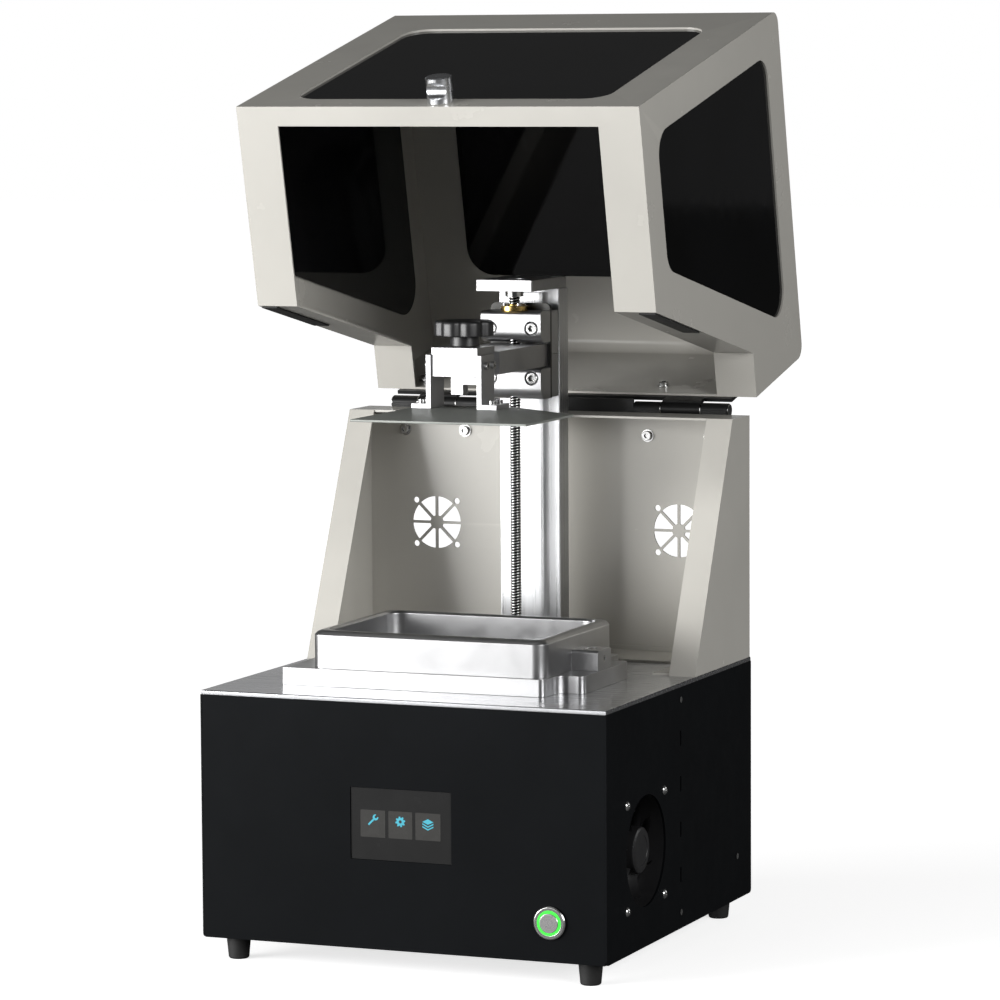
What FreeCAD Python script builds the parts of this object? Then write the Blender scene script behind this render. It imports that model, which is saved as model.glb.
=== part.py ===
# Desktop resin printer with a lift-up tinted hood, shown with its hood open and its platform raised.
# Millimetres, +Z up, +X to the user's right, +Y to the back.
# Every piece is described with y = 0 at the case's front and written out moved forward, so that
# the origin lies under the middle of the whole outline, on the surface the printer stands on.
# The hood is described closed, then turned about its hinge into the open position.
import FreeCAD, Part
import math
import os

# ---- driving dimensions -------------------------------------------------------------------
CASE_W, CASE_D = 296.0, 290.0      # black case, width and depth
MIDDLE_Y = 201.0                   # middle of the depth with the hood open
FOOT_H = 16.5                      # rubber feet under the case
CASE_TOP = 184.0                   # top of the black case, above the table
DECK_T = 3.0                       # aluminium deck on the case
SHEET = 1.5                        # steel sheet of the panels, the shell and the hood
FRONT_T = 2.0                      # front panel

SHELL_W = 295.0                    # rear shell and hood, outside width
SHELL_BACK = 288.5                 # outer face of the shell's back
SHELL_TOP = 360.0
SHELL_FOOT_Y, SHELL_HEAD_Y = 173.6, 252.1   # slanted front edge of the wings, foot and head
WING_FLANGE = 19.4                 # front flange of each wing

HINGE_Y, HINGE_Z = 294.0, 362.7    # hood hinge axis, parallel to X
HINGE_X = 94.6                     # middle of each hinge
HINGE_R = 5.0                      # hinge barrel
HOOD_OPEN = 77.0                   # degrees, how far the hood is turned back
HOOD_FRONT, HOOD_BACK = 29.1, 287.5
HOOD_LOW, HOOD_TOP = 189.6, 480.2
HOOD_KNEE_Y = 171.0                # where the slanted edge meets the bottom edge
HOOD_HEEL_Y, HOOD_HEEL_Z = 254.6, 374.4     # where it meets the short rear edge
HOOD_BEND = 10.0                   # outer bend radius, front to top to back
RIM_FRONT, RIM_SIDE = 13.8, 30.0   # inward rims round the hood's mouth

BUILD_Y = 111.0                    # middle of the vat, the screen and the platform
VAT_W, VAT_D = 172.0, 130.0
VAT_LOW, VAT_TOP = 199.0, 225.0
VAT_WALL = 8.0
VAT_CORNER = 9.0
VAT_BEVEL = 3.0                    # outer bevel along the rim
PLATE_W, PLATE_D = 130.0, 88.0     # build plate
PLATE_LOW, PLATE_EDGE, PLATE_HIGH = 367.0, 368.6, 375.0

COLUMN_W = 46.0
COLUMN_Y, COLUMN_BACK = 236.0, 253.4
COLUMN_TOP = 451.0
SCREW_Y = 208.7                    # lead screw axis
SCREW_R = 4.0
END_PLATE_T = 8.0
ARM_LOW, ARM_HIGH = 397.0, 413.0   # platform arm
FAN_Y, FAN_Z, FAN_HOLES = 74.7, 82.0, 71.5  # 80 mm side fan
GRILLE_X, GRILLE_Z, GRILLE_HOLES = 94.2, 275.7, 32.0
SCREEN_W, SCREEN_H, SCREEN_Z = 73.4, 49.0, 102.0
BUTTON_X, BUTTON_Z = 107.6, 43.2

DECK_TOP = CASE_TOP + DECK_T
HALF_W = CASE_W / 2
SHELL_X = SHELL_W / 2
SLANT = math.atan2(SHELL_HEAD_Y - SHELL_FOOT_Y, SHELL_TOP - DECK_TOP)
X_AXIS, Y_AXIS, Z_AXIS = FreeCAD.Vector(1, 0, 0), FreeCAD.Vector(0, 1, 0), FreeCAD.Vector(0, 0, 1)


# ---- small tools --------------------------------------------------------------------------
def vec(x, y, z):
    return FreeCAD.Vector(x, y, z)


def box(x0, x1, y0, y1, z0, z1):
    return Part.makeBox(x1 - x0, y1 - y0, z1 - z0, vec(x0, y0, z0))


def rod(radius, start, axis, length):
    return Part.makeCylinder(radius, length, start, axis)


def cone(r_start, r_end, start, axis, length):
    return Part.makeCone(r_start, r_end, length, start, axis)


def fuse(shapes):
    whole = shapes[0]
    for shape in shapes[1:]:
        whole = whole.fuse(shape)
    return whole.removeSplitter()


def cut(shape, tools):
    for tool in tools:
        shape = shape.cut(tool)
    return shape.removeSplitter()


def group(shapes):
    return Part.makeCompound(shapes)


def mirrored(shape):
    return shape.mirror(vec(0, 0, 0), X_AXIS)


def pair(shape):
    """The same piece on the right and on the left."""
    return group([shape, mirrored(shape)])


def outline(points, radius=0.0):
    """A closed wire through points, with every corner rounded to the same radius."""
    if not radius:
        return Part.makePolygon(points + [points[0]])
    edges = []
    count = len(points)
    starts, ends = [], []
    for i in range(count):
        before, here, after = points[i - 1], points[i], points[(i + 1) % count]
        u = (before - here).normalize()
        w = (after - here).normalize()
        half = math.acos(max(-1.0, min(1.0, u.dot(w)))) / 2
        reach = radius / math.tan(half)
        middle = (u + w).normalize() * (radius / math.sin(half) - radius) + here
        starts.append(here + u * reach)
        ends.append(here + w * reach)
        edges.append(Part.Arc(starts[i], middle, ends[i]).toShape())
    wire = []
    for i in range(count):
        wire.append(edges[i])
        wire.append(Part.makeLine(ends[i], starts[(i + 1) % count]))
    return Part.Wire(wire)


def slab_yz(points, x0, x1, radius=0.0):
    """A plate parallel to the YZ plane."""
    corners = [vec(x0, y, z) for y, z in points]
    return Part.Face(outline(corners, radius)).extrude(vec(x1 - x0, 0, 0))


def slab_xz(points, y0, y1, radius=0.0):
    corners = [vec(x, y0, z) for x, z in points]
    return Part.Face(outline(corners, radius)).extrude(vec(0, y1 - y0, 0))


def slab_xy(points, z0, z1, radius=0.0):
    corners = [vec(x, y, z0) for x, y in points]
    return Part.Face(outline(corners, radius)).extrude(vec(0, 0, z1 - z0))


def rect(x0, x1, y0, y1):
    return [(x0, y0), (x1, y0), (x1, y1), (x0, y1)]


def edges_where(shape, test):
    chosen = []
    for edge in shape.Edges:
        a, b = edge.Vertexes[0].Point, edge.Vertexes[-1].Point
        if test(a, b):
            chosen.append(edge)
    return chosen


def upright(a, b):
    return abs(a.x - b.x) < 1e-6 and abs(a.y - b.y) < 1e-6 and abs(a.z - b.z) > 1e-3


def cap_screw(tip, axis, head_r, head_h, shank_r, shank_l):
    """A socket-head screw whose head sits on the point tip and whose shank runs along axis."""
    head = rod(head_r, tip - axis * head_h, axis, head_h)
    rim = [e for e in head.Edges if e.Closed and (e.CenterOfMass - tip).Length > head_h / 2]
    head = head.makeChamfer(head_r * 0.12, rim)
    socket = hex_prism(head_r * 0.55, tip - axis * head_h, axis, head_h * 0.6)
    return fuse([head, rod(shank_r, tip, axis, shank_l)]).cut(socket)


def domed_screw(tip, axis, head_r, head_h, shank_r, shank_l):
    """A button-head screw with a domed head on the point tip and its shank along axis."""
    ball_r = (head_r ** 2 + head_h ** 2) / (2 * head_h)
    dome = Part.makeSphere(ball_r, tip + axis * (ball_r - head_h))
    head = dome.common(rod(head_r, tip - axis * head_h, axis, head_h))
    socket = hex_prism(head_r * 0.42, tip - axis * head_h, axis, head_h * 0.55)
    return fuse([head, rod(shank_r, tip, axis, shank_l)]).cut(socket)


def hex_prism(radius, start, axis, length):
    across = axis.cross(Z_AXIS if abs(axis.z) < 0.9 else X_AXIS).normalize()
    up = axis.cross(across).normalize()
    corners = []
    for i in range(6):
        a = math.radians(60 * i)
        corners.append(start + across * (radius * math.cos(a)) + up * (radius * math.sin(a)))
    return Part.Face(outline(corners)).extrude(axis * length)


def opened(shape):
    """Turn a piece of the closed hood about the hinge into the open position."""
    turned = shape.copy()
    turned.rotate(vec(0, HINGE_Y, HINGE_Z), X_AXIS, -HOOD_OPEN)
    return turned


# ---- case ---------------------------------------------------------------------------------
POST = 12.0                        # square posts in the case's corners
CASE_IN = HALF_W - SHEET           # inner face of the side panels
REAR_IN = CASE_D - SHEET


def case_frame():
    """The floor of the case with a square post welded in each corner."""
    floor = box(-CASE_IN, CASE_IN, FRONT_T, REAR_IN, FOOT_H, FOOT_H + SHEET)
    vents = []
    for row in range(5):
        for column in range(8):
            x, y = -56 + 16 * column, 82 + 14.5 * row
            vents.append(box(x - 5, x + 5, y - 1.5, y + 1.5, FOOT_H - 1, FOOT_H + SHEET + 1))
    holes = [rod(2.2, vec(x, y, FOOT_H - 1), Z_AXIS, SHEET + 2) for x, y in foot_places()]
    return fuse([cut(floor, vents + holes)] + corner_posts())


def foot_places():
    dx, dy = HALF_W - 18.5, 18.0
    return [(x, y) for x in (-dx, dx) for y in (dy, CASE_D - dy)]


def rubber_feet():
    feet = []
    for x, y in foot_places():
        foot = cone(7.0, 8.6, vec(x, y, 0), Z_AXIS, FOOT_H)
        foot = foot.makeFillet(1.5, [e for e in foot.Edges if e.Closed and e.CenterOfMass.z < 1])
        recess = rod(4.4, vec(x, y, -1), Z_AXIS, 7.0)
        hole = rod(2.2, vec(x, y, 0), Z_AXIS, FOOT_H + 1)
        feet.append(cut(foot, [recess, hole]))
    return group(feet)


def foot_screws():
    return [cap_screw(vec(x, y, 6.0), Z_AXIS, 3.9, 3.0, 2.1, FOOT_H - 2) for x, y in foot_places()]


def corner_posts():
    posts = []
    for side in (-1, 1):
        for y in (FRONT_T, REAR_IN - POST):
            x = side * (CASE_IN - POST / 2)
            posts.append(box(x - POST / 2, x + POST / 2, y, y + POST, FOOT_H + SHEET, CASE_TOP))
    return posts


def front_panel():
    panel = box(-CASE_IN, CASE_IN, 0, FRONT_T, FOOT_H, CASE_TOP)
    window = box(-SCREEN_W / 2, SCREEN_W / 2, -1, FRONT_T + 1,
                 SCREEN_Z - SCREEN_H / 2, SCREEN_Z + SCREEN_H / 2)
    button = rod(9.6, vec(BUTTON_X, -1, BUTTON_Z), Y_AXIS, FRONT_T + 2)
    return cut(panel, [window, button])


def slot_upright(x0, x1, y, z, length, width):
    """A round-ended slot through a side panel."""
    half = (length - width) / 2
    ends = [rod(width / 2, vec(x0, y, z + s * half), X_AXIS, x1 - x0) for s in (-1, 1)]
    return fuse([box(x0, x1, y - width / 2, y + width / 2, z - half, z + half)] + ends)


def side_panel():
    """The right side panel, with rounded lower corners and a row of slots."""
    panel = slab_yz([(0, FOOT_H), (CASE_D, FOOT_H), (CASE_D, CASE_TOP), (0, CASE_TOP)],
                    CASE_IN, HALF_W)
    low = edges_where(panel, lambda a, b: abs(a.z - FOOT_H) < 1e-6 and abs(b.z - FOOT_H) < 1e-6
                      and abs(a.x - b.x) > 1)
    panel = panel.makeFillet(SIDE_CORNER, low)
    x0, x1 = CASE_IN - 1, HALF_W + 1
    slots = [slot_upright(x0, x1, SLOT_Y, z, 11.0, 2.6) for z in SLOT_ZS]
    dots = [rod(1.4, vec(x0, y, z), X_AXIS, x1 - x0) for y, z in PANEL_SCREWS]
    return cut(panel, slots + dots)


SIDE_CORNER = 3.0                  # lower corners of the side panels
SLOT_Y = 142.7
SLOT_ZS = [54.0 + 31.6 * i for i in range(4)]
PANEL_SCREWS = [(SLOT_Y, 175.6), (SLOT_Y, 28.0), (259.4, 47.7)]


def right_panel():
    x0, length = CASE_IN - 1, SHEET + 2
    opening = rod(38.0, vec(x0, FAN_Y, FAN_Z), X_AXIS, length)
    holes = [rod(2.3, vec(x0, y, z), X_AXIS, length) for y, z in fan_hole_places()]
    return cut(side_panel(), [opening] + holes)


def left_panel():
    return mirrored(side_panel())


def panel_screws():
    right = []
    for y, z in PANEL_SCREWS:
        right.append(fuse([cone(2.2, 1.6, vec(HALF_W + 0.5, y, z), -X_AXIS, 0.5),
                           rod(1.35, vec(HALF_W, y, z), -X_AXIS, 6.0)]))
    return group(right + [mirrored(s) for s in right] + fan_screws())


INLET_X, INLET_Z = -96.0, 56.0
USB_X, USB_Z = 96.0, 44.0
USB_BOARD_Z = USB_Z - 6.5
REAR_VENT_X = 20.0


def rear_panel():
    panel = box(-CASE_IN, CASE_IN, REAR_IN, CASE_D, FOOT_H, CASE_TOP)
    y0, y1 = REAR_IN - 1, CASE_D + 1
    inlet = box(INLET_X - 13.8, INLET_X + 13.8, y0, y1, INLET_Z - 10.0, INLET_Z + 10.0)
    screws = [rod(1.7, vec(INLET_X + s * 20, y0, INLET_Z), Y_AXIS, y1 - y0) for s in (-1, 1)]
    usb = box(USB_X - 6.8, USB_X + 6.8, y0, y1, USB_Z - 3.2, USB_Z + 3.2)
    vents = []
    for i in range(9):
        x = REAR_VENT_X - 48 + 12 * i
        vents.append(box(x - 1.5, x + 1.5, y0, y1, 60, 120))
    return cut(panel, [inlet, usb] + screws + vents)


def deck_plate():
    """The brushed aluminium top of the case, with the light window and the screw's hole."""
    deck = box(-HALF_W + 0.3, HALF_W - 0.3, 0.2, CASE_D, CASE_TOP, DECK_TOP)
    rims = edges_where(deck, lambda a, b: abs(a.z - DECK_TOP) < 1e-6 and abs(b.z - DECK_TOP) < 1e-6)
    deck = deck.makeChamfer(0.5, rims)
    light = box(-64, 64, BUILD_Y - 40, BUILD_Y + 40, CASE_TOP - 1, DECK_TOP + 1)
    screw = rod(11.2, vec(0, SCREW_Y, CASE_TOP - 1), Z_AXIS, DECK_T + 2)
    bolts = [rod(1.7, vec(x, y, CASE_TOP - 1), Z_AXIS, DECK_T + 2) for x, y in motor_bolts()]
    column_holes = [rod(2.5, vec(x, 244.7, CASE_TOP - 1), Z_AXIS, DECK_T + 2) for x in (-16, 16)]
    return cut(deck, [light, screw] + bolts + column_holes)


# ---- front display and power button ---------------------------------------------------------
def display_glass():
    gap = 0.15
    return box(-SCREEN_W / 2 + gap, SCREEN_W / 2 - gap, 0.7, FRONT_T,
               SCREEN_Z - SCREEN_H / 2 + gap, SCREEN_Z + SCREEN_H / 2 - gap)


def display_module():
    board = box(-44, 44, 6.0, 7.6, SCREEN_Z - 29, SCREEN_Z + 29)
    panel = box(-39, 39, FRONT_T, 6.0, SCREEN_Z - 27, SCREEN_Z + 27)
    chips = [box(-8, 8, 7.6, 9.2, SCREEN_Z - 8, SCREEN_Z + 8),
             box(18, 34, 7.6, 11.0, SCREEN_Z - 22, SCREEN_Z - 14)]
    return fuse([panel, board] + chips)


def button_bezel():
    """The steel body of the push button, with its collar on the front panel."""
    centre = vec(BUTTON_X, 0, BUTTON_Z)
    collar = rod(11.4, centre - Y_AXIS * 2.2, Y_AXIS, 2.2)
    collar = collar.makeChamfer(0.8, [e for e in collar.Edges if e.Closed and e.CenterOfMass.y < -2])
    barrel = rod(9.4, centre, Y_AXIS, 24.0)
    nut = hex_prism(13.5, centre + Y_AXIS * FRONT_T, Y_AXIS, 3.0)
    well = rod(8.55, centre - Y_AXIS * 3, Y_AXIS, 10.0)
    return fuse([collar, barrel, nut]).cut(well)


def button_light():
    centre = vec(BUTTON_X, 0, BUTTON_Z)
    ring = rod(8.5, centre - Y_AXIS * 2.3, Y_AXIS, 9.0)
    return ring.cut(rod(6.75, centre - Y_AXIS * 3, Y_AXIS, 11.0))


def button_cap():
    centre = vec(BUTTON_X, 0, BUTTON_Z)
    cap = rod(6.7, centre - Y_AXIS * 2.9, Y_AXIS, 6.5)
    return cap.makeChamfer(0.3, [e for e in cap.Edges if e.Closed and e.CenterOfMass.y < -2])


# ---- side fan -------------------------------------------------------------------------------
FAN_SIZE, FAN_DEPTH = 80.0, 25.0


def fan_hole_places():
    half = FAN_HOLES / 2
    return [(FAN_Y + sy * half, FAN_Z + sz * half) for sy in (-1, 1) for sz in (-1, 1)]


def fan_frame():
    x1 = CASE_IN
    half = FAN_SIZE / 2
    square = [(FAN_Y - half, FAN_Z - half), (FAN_Y + half, FAN_Z - half),
              (FAN_Y + half, FAN_Z + half), (FAN_Y - half, FAN_Z + half)]
    ends = [slab_yz(square, x1 - 4, x1, 4.0), slab_yz(square, x1 - FAN_DEPTH, x1 - FAN_DEPTH + 4, 4.0)]
    barrel = rod(half, vec(x1 - FAN_DEPTH, FAN_Y, FAN_Z), X_AXIS, FAN_DEPTH)
    body = fuse(ends + [barrel]).cut(rod(38.0, vec(x1 - FAN_DEPTH - 1, FAN_Y, FAN_Z), X_AXIS, 30))
    corners = [rod(2.2, vec(x1 - FAN_DEPTH - 1, y, z), X_AXIS, 30) for y, z in fan_hole_places()]
    body = cut(body, corners)
    motor = rod(15.0, vec(x1 - FAN_DEPTH, FAN_Y, FAN_Z), X_AXIS, 3.0)
    struts = []
    for i in range(4):
        strut = box(x1 - FAN_DEPTH, x1 - FAN_DEPTH + 3, FAN_Y - 1.5, FAN_Y + 1.5, FAN_Z + 13, FAN_Z + 39)
        strut.rotate(vec(0, FAN_Y, FAN_Z), X_AXIS, 45 + 90 * i)
        struts.append(strut)
    pin = rod(1.5, vec(x1 - FAN_DEPTH + 3, FAN_Y, FAN_Z), X_AXIS, 12)
    return fuse([body, motor, pin] + struts)


def fan_rotor():
    x0, x1 = CASE_IN - FAN_DEPTH + 3.6, CASE_IN - 1.5
    hub = rod(16.0, vec(x0, FAN_Y, FAN_Z), X_AXIS, x1 - x0)
    hub = hub.makeFillet(1.5, [e for e in hub.Edges if e.Closed and e.CenterOfMass.x > x1 - 1])
    hub = hub.cut(rod(1.55, vec(x0 - 1, FAN_Y, FAN_Z), X_AXIS, 14.0))
    blades = []
    for i in range(7):
        blade = box(-1.0, 1.0, -10.0, 10.0, 15.0, 36.6)
        blade.rotate(vec(0, 0, 0), Z_AXIS, 38)
        blade.translate(vec((x0 + x1) / 2, FAN_Y, FAN_Z))
        blade.rotate(vec(0, FAN_Y, FAN_Z), X_AXIS, 360.0 * i / 7)
        blades.append(blade)
    sweep = rod(36.8, vec(x0, FAN_Y, FAN_Z), X_AXIS, x1 - x0)
    return fuse([hub] + [b.common(sweep) for b in blades])


def fan_screws():
    return [domed_screw(vec(HALF_W, y, z), -X_AXIS, 3.4, 1.9, 2.0, 8.0) for y, z in fan_hole_places()]


# ---- electronics and light ------------------------------------------------------------------
LAMP_Z = 62.0
FINS = 15
FLOOR_Z = FOOT_H + SHEET


def lamp_heat_sink():
    base = box(-45, 45, BUILD_Y - 45, BUILD_Y + 45, LAMP_Z - 5, LAMP_Z)
    fins = []
    for i in range(FINS):
        x = -45 + 88.0 * i / (FINS - 1)
        fins.append(box(x, x + 2, BUILD_Y - 45, BUILD_Y + 45, LAMP_Z - 26, LAMP_Z - 5))
    return fuse([base] + fins)


def lamp_brackets():
    wing = fuse([box(45, 47, BUILD_Y - 30, BUILD_Y + 30, FLOOR_Z, LAMP_Z),
                 box(47, 57, BUILD_Y - 30, BUILD_Y + 30, FLOOR_Z, FLOOR_Z + 2)])
    return pair(wing)


def led_board():
    board = box(-42, 42, BUILD_Y - 42, BUILD_Y + 42, LAMP_Z, LAMP_Z + 1.6)
    leds = []
    for i in range(6):
        for j in range(6):
            x, y = -30 + 12 * i, BUILD_Y - 30 + 12 * j
            leds.append(box(x - 1.75, x + 1.75, y - 1.75, y + 1.75, LAMP_Z + 1.6, LAMP_Z + 3.4))
    return fuse([board] + leds)


def light_funnel():
    """The four-sided reflector between the lamp board and the light window."""
    z0, z1 = LAMP_Z + 1.6, CASE_TOP

    def frustum(x_low, y_low, x_high, y_high, low, high):
        loops = []
        for hx, hy, z in ((x_low, y_low, low), (x_high, y_high, high)):
            loops.append(outline([vec(x, y, z) for x, y in rect(-hx, hx, BUILD_Y - hy, BUILD_Y + hy)]))
        return Part.makeLoft(loops, True, True)

    outer = frustum(42, 42, 66, 42, z0, z1)
    inner = frustum(40.5, 40.5, 64.5, 40.5, z0 - 0.01, z1 + 0.01)
    return outer.cut(inner)


def power_supply():
    body = box(-142, -62, 60, 200, FLOOR_Z + 3, FLOOR_Z + 35)
    lugs = [box(-138, -126, y0, y0 + 8, FLOOR_Z, FLOOR_Z + 3) for y0 in (62, 190)]
    lugs += [box(-78, -66, y0, y0 + 8, FLOOR_Z, FLOOR_Z + 3) for y0 in (62, 190)]
    terminals = box(-134, -70, 200, 212, FLOOR_Z + 6, FLOOR_Z + 20)
    return fuse([body, terminals] + lugs)


def control_board():
    z = FLOOR_Z + 8
    board = box(34, 134, 168, 268, z, z + 1.6)
    parts = [box(44, 60, 182, 198, z + 1.6, z + 10),
             box(44, 60, 206, 222, z + 1.6, z + 10),
             box(84, 104, 214, 234, z + 1.6, z + 4),
             box(122, 132, 180, 240, z + 1.6, z + 12),
             box(66, 116, 172, 180, z + 1.6, z + 12)]
    return fuse([board] + parts)


def board_spacers():
    return [rod(3.0, vec(x, y, FLOOR_Z), Z_AXIS, 8.0) for x in (39, 129) for y in (173, 263)]


def power_inlet():
    y0, y1 = REAR_IN - 22, CASE_D
    body = box(INLET_X - 13.5, INLET_X + 13.5, y0, y1, INLET_Z - 9.8, INLET_Z + 9.8)
    flange = slab_xz([(INLET_X - 25, INLET_Z - 11), (INLET_X + 25, INLET_Z - 11),
                      (INLET_X + 25, INLET_Z + 11), (INLET_X - 25, INLET_Z + 11)], y1, y1 + 2.4, 4.0)
    well = slab_xz([(INLET_X - 12, INLET_Z - 4.5), (INLET_X - 7, INLET_Z - 8),
                    (INLET_X + 7, INLET_Z - 8), (INLET_X + 12, INLET_Z - 4.5),
                    (INLET_X + 12, INLET_Z + 8), (INLET_X - 12, INLET_Z + 8)], y1 - 16, y1 + 3)
    holes = [rod(1.7, vec(INLET_X + s * 20, y1 - 1, INLET_Z), Y_AXIS, 5) for s in (-1, 1)]
    body = cut(fuse([body, flange]), [well] + holes)
    pins = []
    for dx, dz in ((-7, -1.5), (0, 2.5), (7, -1.5)):
        pins.append(box(INLET_X + dx - 1, INLET_X + dx + 1, y1 - 16.5, y1 - 1,
                        INLET_Z + dz - 2, INLET_Z + dz + 2))
    return fuse([body] + pins)


def inlet_screws():
    return [cap_screw(vec(INLET_X + s * 20, CASE_D + 2.4, INLET_Z), -Y_AXIS, 2.8, 1.8, 1.5, 8)
            for s in (-1, 1)]


def usb_port():
    y0, y1 = REAR_IN - 14, CASE_D + 0.6
    body = box(USB_X - 6.6, USB_X + 6.6, y0, y1, USB_Z - 3.0, USB_Z + 3.0)
    body = body.cut(box(USB_X - 6.0, USB_X + 6.0, y0 + 3, y1 + 1, USB_Z - 2.4, USB_Z + 2.4))
    tongue = box(USB_X - 5.0, USB_X + 5.0, y0 + 2, y1 - 1.5, USB_Z + 0.3, USB_Z + 1.9)
    legs = [box(x - 1, x + 1, y0 + 2, y0 + 10, USB_BOARD_Z + 1.6, USB_Z - 2.9)
            for x in (USB_X - 5, USB_X + 5)]
    board = box(USB_X - 16, USB_X + 16, REAR_IN - 22, REAR_IN, USB_BOARD_Z, USB_BOARD_Z + 1.6)
    return fuse([body, tongue, board] + legs)


# ---- masking screen and vat -----------------------------------------------------------------
FRAME_FRONT, FRAME_BACK = 43.4, 187.0
FRAME_EAR = 106.0                  # half width over the ears
FRAME_MAIN = 87.0                  # where the notches on the right side stop
EAR_FRONT, EAR_BACK = 68.0, 154.0


def vat_frame():
    """The thick plate on the deck that carries the masking screen and locates the vat."""
    points = [(-FRAME_EAR, FRAME_FRONT), (FRAME_MAIN, FRAME_FRONT), (FRAME_MAIN, EAR_FRONT),
              (FRAME_EAR, EAR_FRONT), (FRAME_EAR, EAR_BACK), (FRAME_MAIN, EAR_BACK),
              (FRAME_MAIN, FRAME_BACK), (-FRAME_EAR, FRAME_BACK)]
    frame = slab_xy(points, DECK_TOP, VAT_LOW)
    inner = edges_where(frame, lambda a, b: upright(a, b) and abs(a.x - FRAME_MAIN) < 1e-6
                        and EAR_FRONT - 1 < a.y < EAR_BACK + 1)
    frame = frame.makeFillet(9.0, inner)
    outer = edges_where(frame, lambda a, b: upright(a, b) and abs(b.z - a.z) > 5 and a.x > 50
                        and not (FRAME_MAIN + 1 < a.x < FRAME_EAR - 1)
                        and (a.y < FRAME_FRONT + 1 or a.y > FRAME_BACK - 1 or a.x > FRAME_EAR - 1))
    frame = frame.makeFillet(4.5, outer)
    light = box(-61, 61, BUILD_Y - 34.5, BUILD_Y + 34.5, DECK_TOP - 1, VAT_LOW + 1)
    seat = box(-SCREEN_SEAT_X, SCREEN_SEAT_X, BUILD_Y - SCREEN_SEAT_Y, BUILD_Y + SCREEN_SEAT_Y,
               VAT_LOW - 3.0, VAT_LOW + 1)
    return cut(frame, [light, seat])


SCREEN_SEAT_X, SCREEN_SEAT_Y = 68.0, 42.0


def masking_screen():
    x, y = SCREEN_SEAT_X - 0.1, SCREEN_SEAT_Y - 0.1
    return box(-x, x, BUILD_Y - y, BUILD_Y + y, VAT_LOW - 3.0, VAT_LOW - 0.3)


VAT_FRONT = BUILD_Y - VAT_D / 2
VAT_BACK = BUILD_Y + VAT_D / 2
EAR_Y0, EAR_Y1 = 96.0, 121.0
LOCK_X, LOCK_Y = 95.0, BUILD_Y - 2.5    # locking screws in the ears
GRUB_Z = 206.5                     # grub screws in the ears' sides
EAR_OUT, EAR_TOP = 105.5, 213.0
EAR_ROUND = 2.5
LOCK_SINK = 3.4                    # the locking screws' heads sit below the ears' tops


def vat_body():
    half = VAT_W / 2
    body = slab_xy(rect(-half, half, VAT_FRONT, VAT_BACK), VAT_LOW, VAT_TOP, VAT_CORNER)
    top = edges_where(body, lambda a, b: abs(a.z - VAT_TOP) < 1e-6 and abs(b.z - VAT_TOP) < 1e-6)
    body = body.makeChamfer(VAT_BEVEL, top)
    ears = []
    for side in (-1, 1):
        a, b = sorted((side * (half - 2), side * EAR_OUT))
        ear = box(a, b, EAR_Y0, EAR_Y1, VAT_LOW, EAR_TOP)
        tops = edges_where(ear, lambda p, q: abs(p.z - EAR_TOP) < 1e-6 and abs(q.z - EAR_TOP) < 1e-6
                           and abs(p.y - q.y) < 1e-6)
        ears.append(ear.makeFillet(EAR_ROUND, tops))
    body = fuse([body] + ears)
    inner = slab_xy(rect(-half + VAT_WALL, half - VAT_WALL, VAT_FRONT + VAT_WALL,
                         VAT_BACK - VAT_WALL), VAT_LOW + 1.6, VAT_TOP + 1, 12.0)
    floor = slab_xy(rect(-half + 16, half - 16, VAT_FRONT + 14, VAT_BACK - 14),
                    VAT_LOW - 1, VAT_LOW + 3, 8.0)
    body = cut(body, [inner, floor])
    rim = [e for e in body.Edges if abs(e.BoundBox.ZMin - VAT_TOP) < 1e-5
           and abs(e.BoundBox.ZMax - VAT_TOP) < 1e-5]
    inner_rim = [e for e in rim if -half + 4 < e.CenterOfMass.x < half - 4
                 and VAT_FRONT + 4 < e.CenterOfMass.y < VAT_BACK - 4]
    body = body.makeChamfer(VAT_BEVEL / 2, inner_rim)
    bolt_holes = []
    for x in (-LOCK_X, LOCK_X):
        bolt_holes += [rod(2.7, vec(x, LOCK_Y, VAT_LOW - 1), Z_AXIS, 20),
                       rod(4.4, vec(x, LOCK_Y, EAR_TOP - LOCK_SINK), Z_AXIS, 10)]
    grubs = [rod(2.0, vec(s * (EAR_OUT + 1), LOCK_Y, GRUB_Z), -X_AXIS * s, 7.2) for s in (-1, 1)]
    return cut(body, bolt_holes + grubs)


def vat_film():
    half = VAT_W / 2
    return slab_xy(rect(-half + 9, half - 9, VAT_FRONT + 9, VAT_BACK - 9),
                   VAT_LOW + 1.6, VAT_LOW + 1.9, 11.0)


def vat_screws():
    """The two locking screws in the ears and the two grub screws in their sides."""
    screws = []
    for side in (-1, 1):
        screws.append(cap_screw(vec(side * LOCK_X, LOCK_Y, EAR_TOP - LOCK_SINK), -Z_AXIS, 4.0, 3.2,
                                2.5, 13.6 - LOCK_SINK))
        x = side * (EAR_OUT - 0.3)
        grub = rod(1.95, vec(x, LOCK_Y, GRUB_Z), -X_AXIS * side, 5.8)
        hexagon = hex_prism(1.1, vec(x, LOCK_Y, GRUB_Z), -X_AXIS * side, 2.5)
        screws.append(grub.cut(hexagon))
    return group(screws)


# ---- column and drive -----------------------------------------------------------------------
RAIL_W, RAIL_H = 23.8, 3.5          # flat dovetail rail: width of its face, height above the column
RAIL_FLARE = 2.0                   # each side is this much narrower at the column
RAIL_CLEAR = 0.35
MOTOR_LOW, MOTOR_HIGH = 141.0, CASE_TOP
MOTOR_BOLTS = 31.0


def motor_bolts():
    half = MOTOR_BOLTS / 2
    return [(sx * half, SCREW_Y + sy * half) for sx in (-1, 1) for sy in (-1, 1)]


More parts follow.
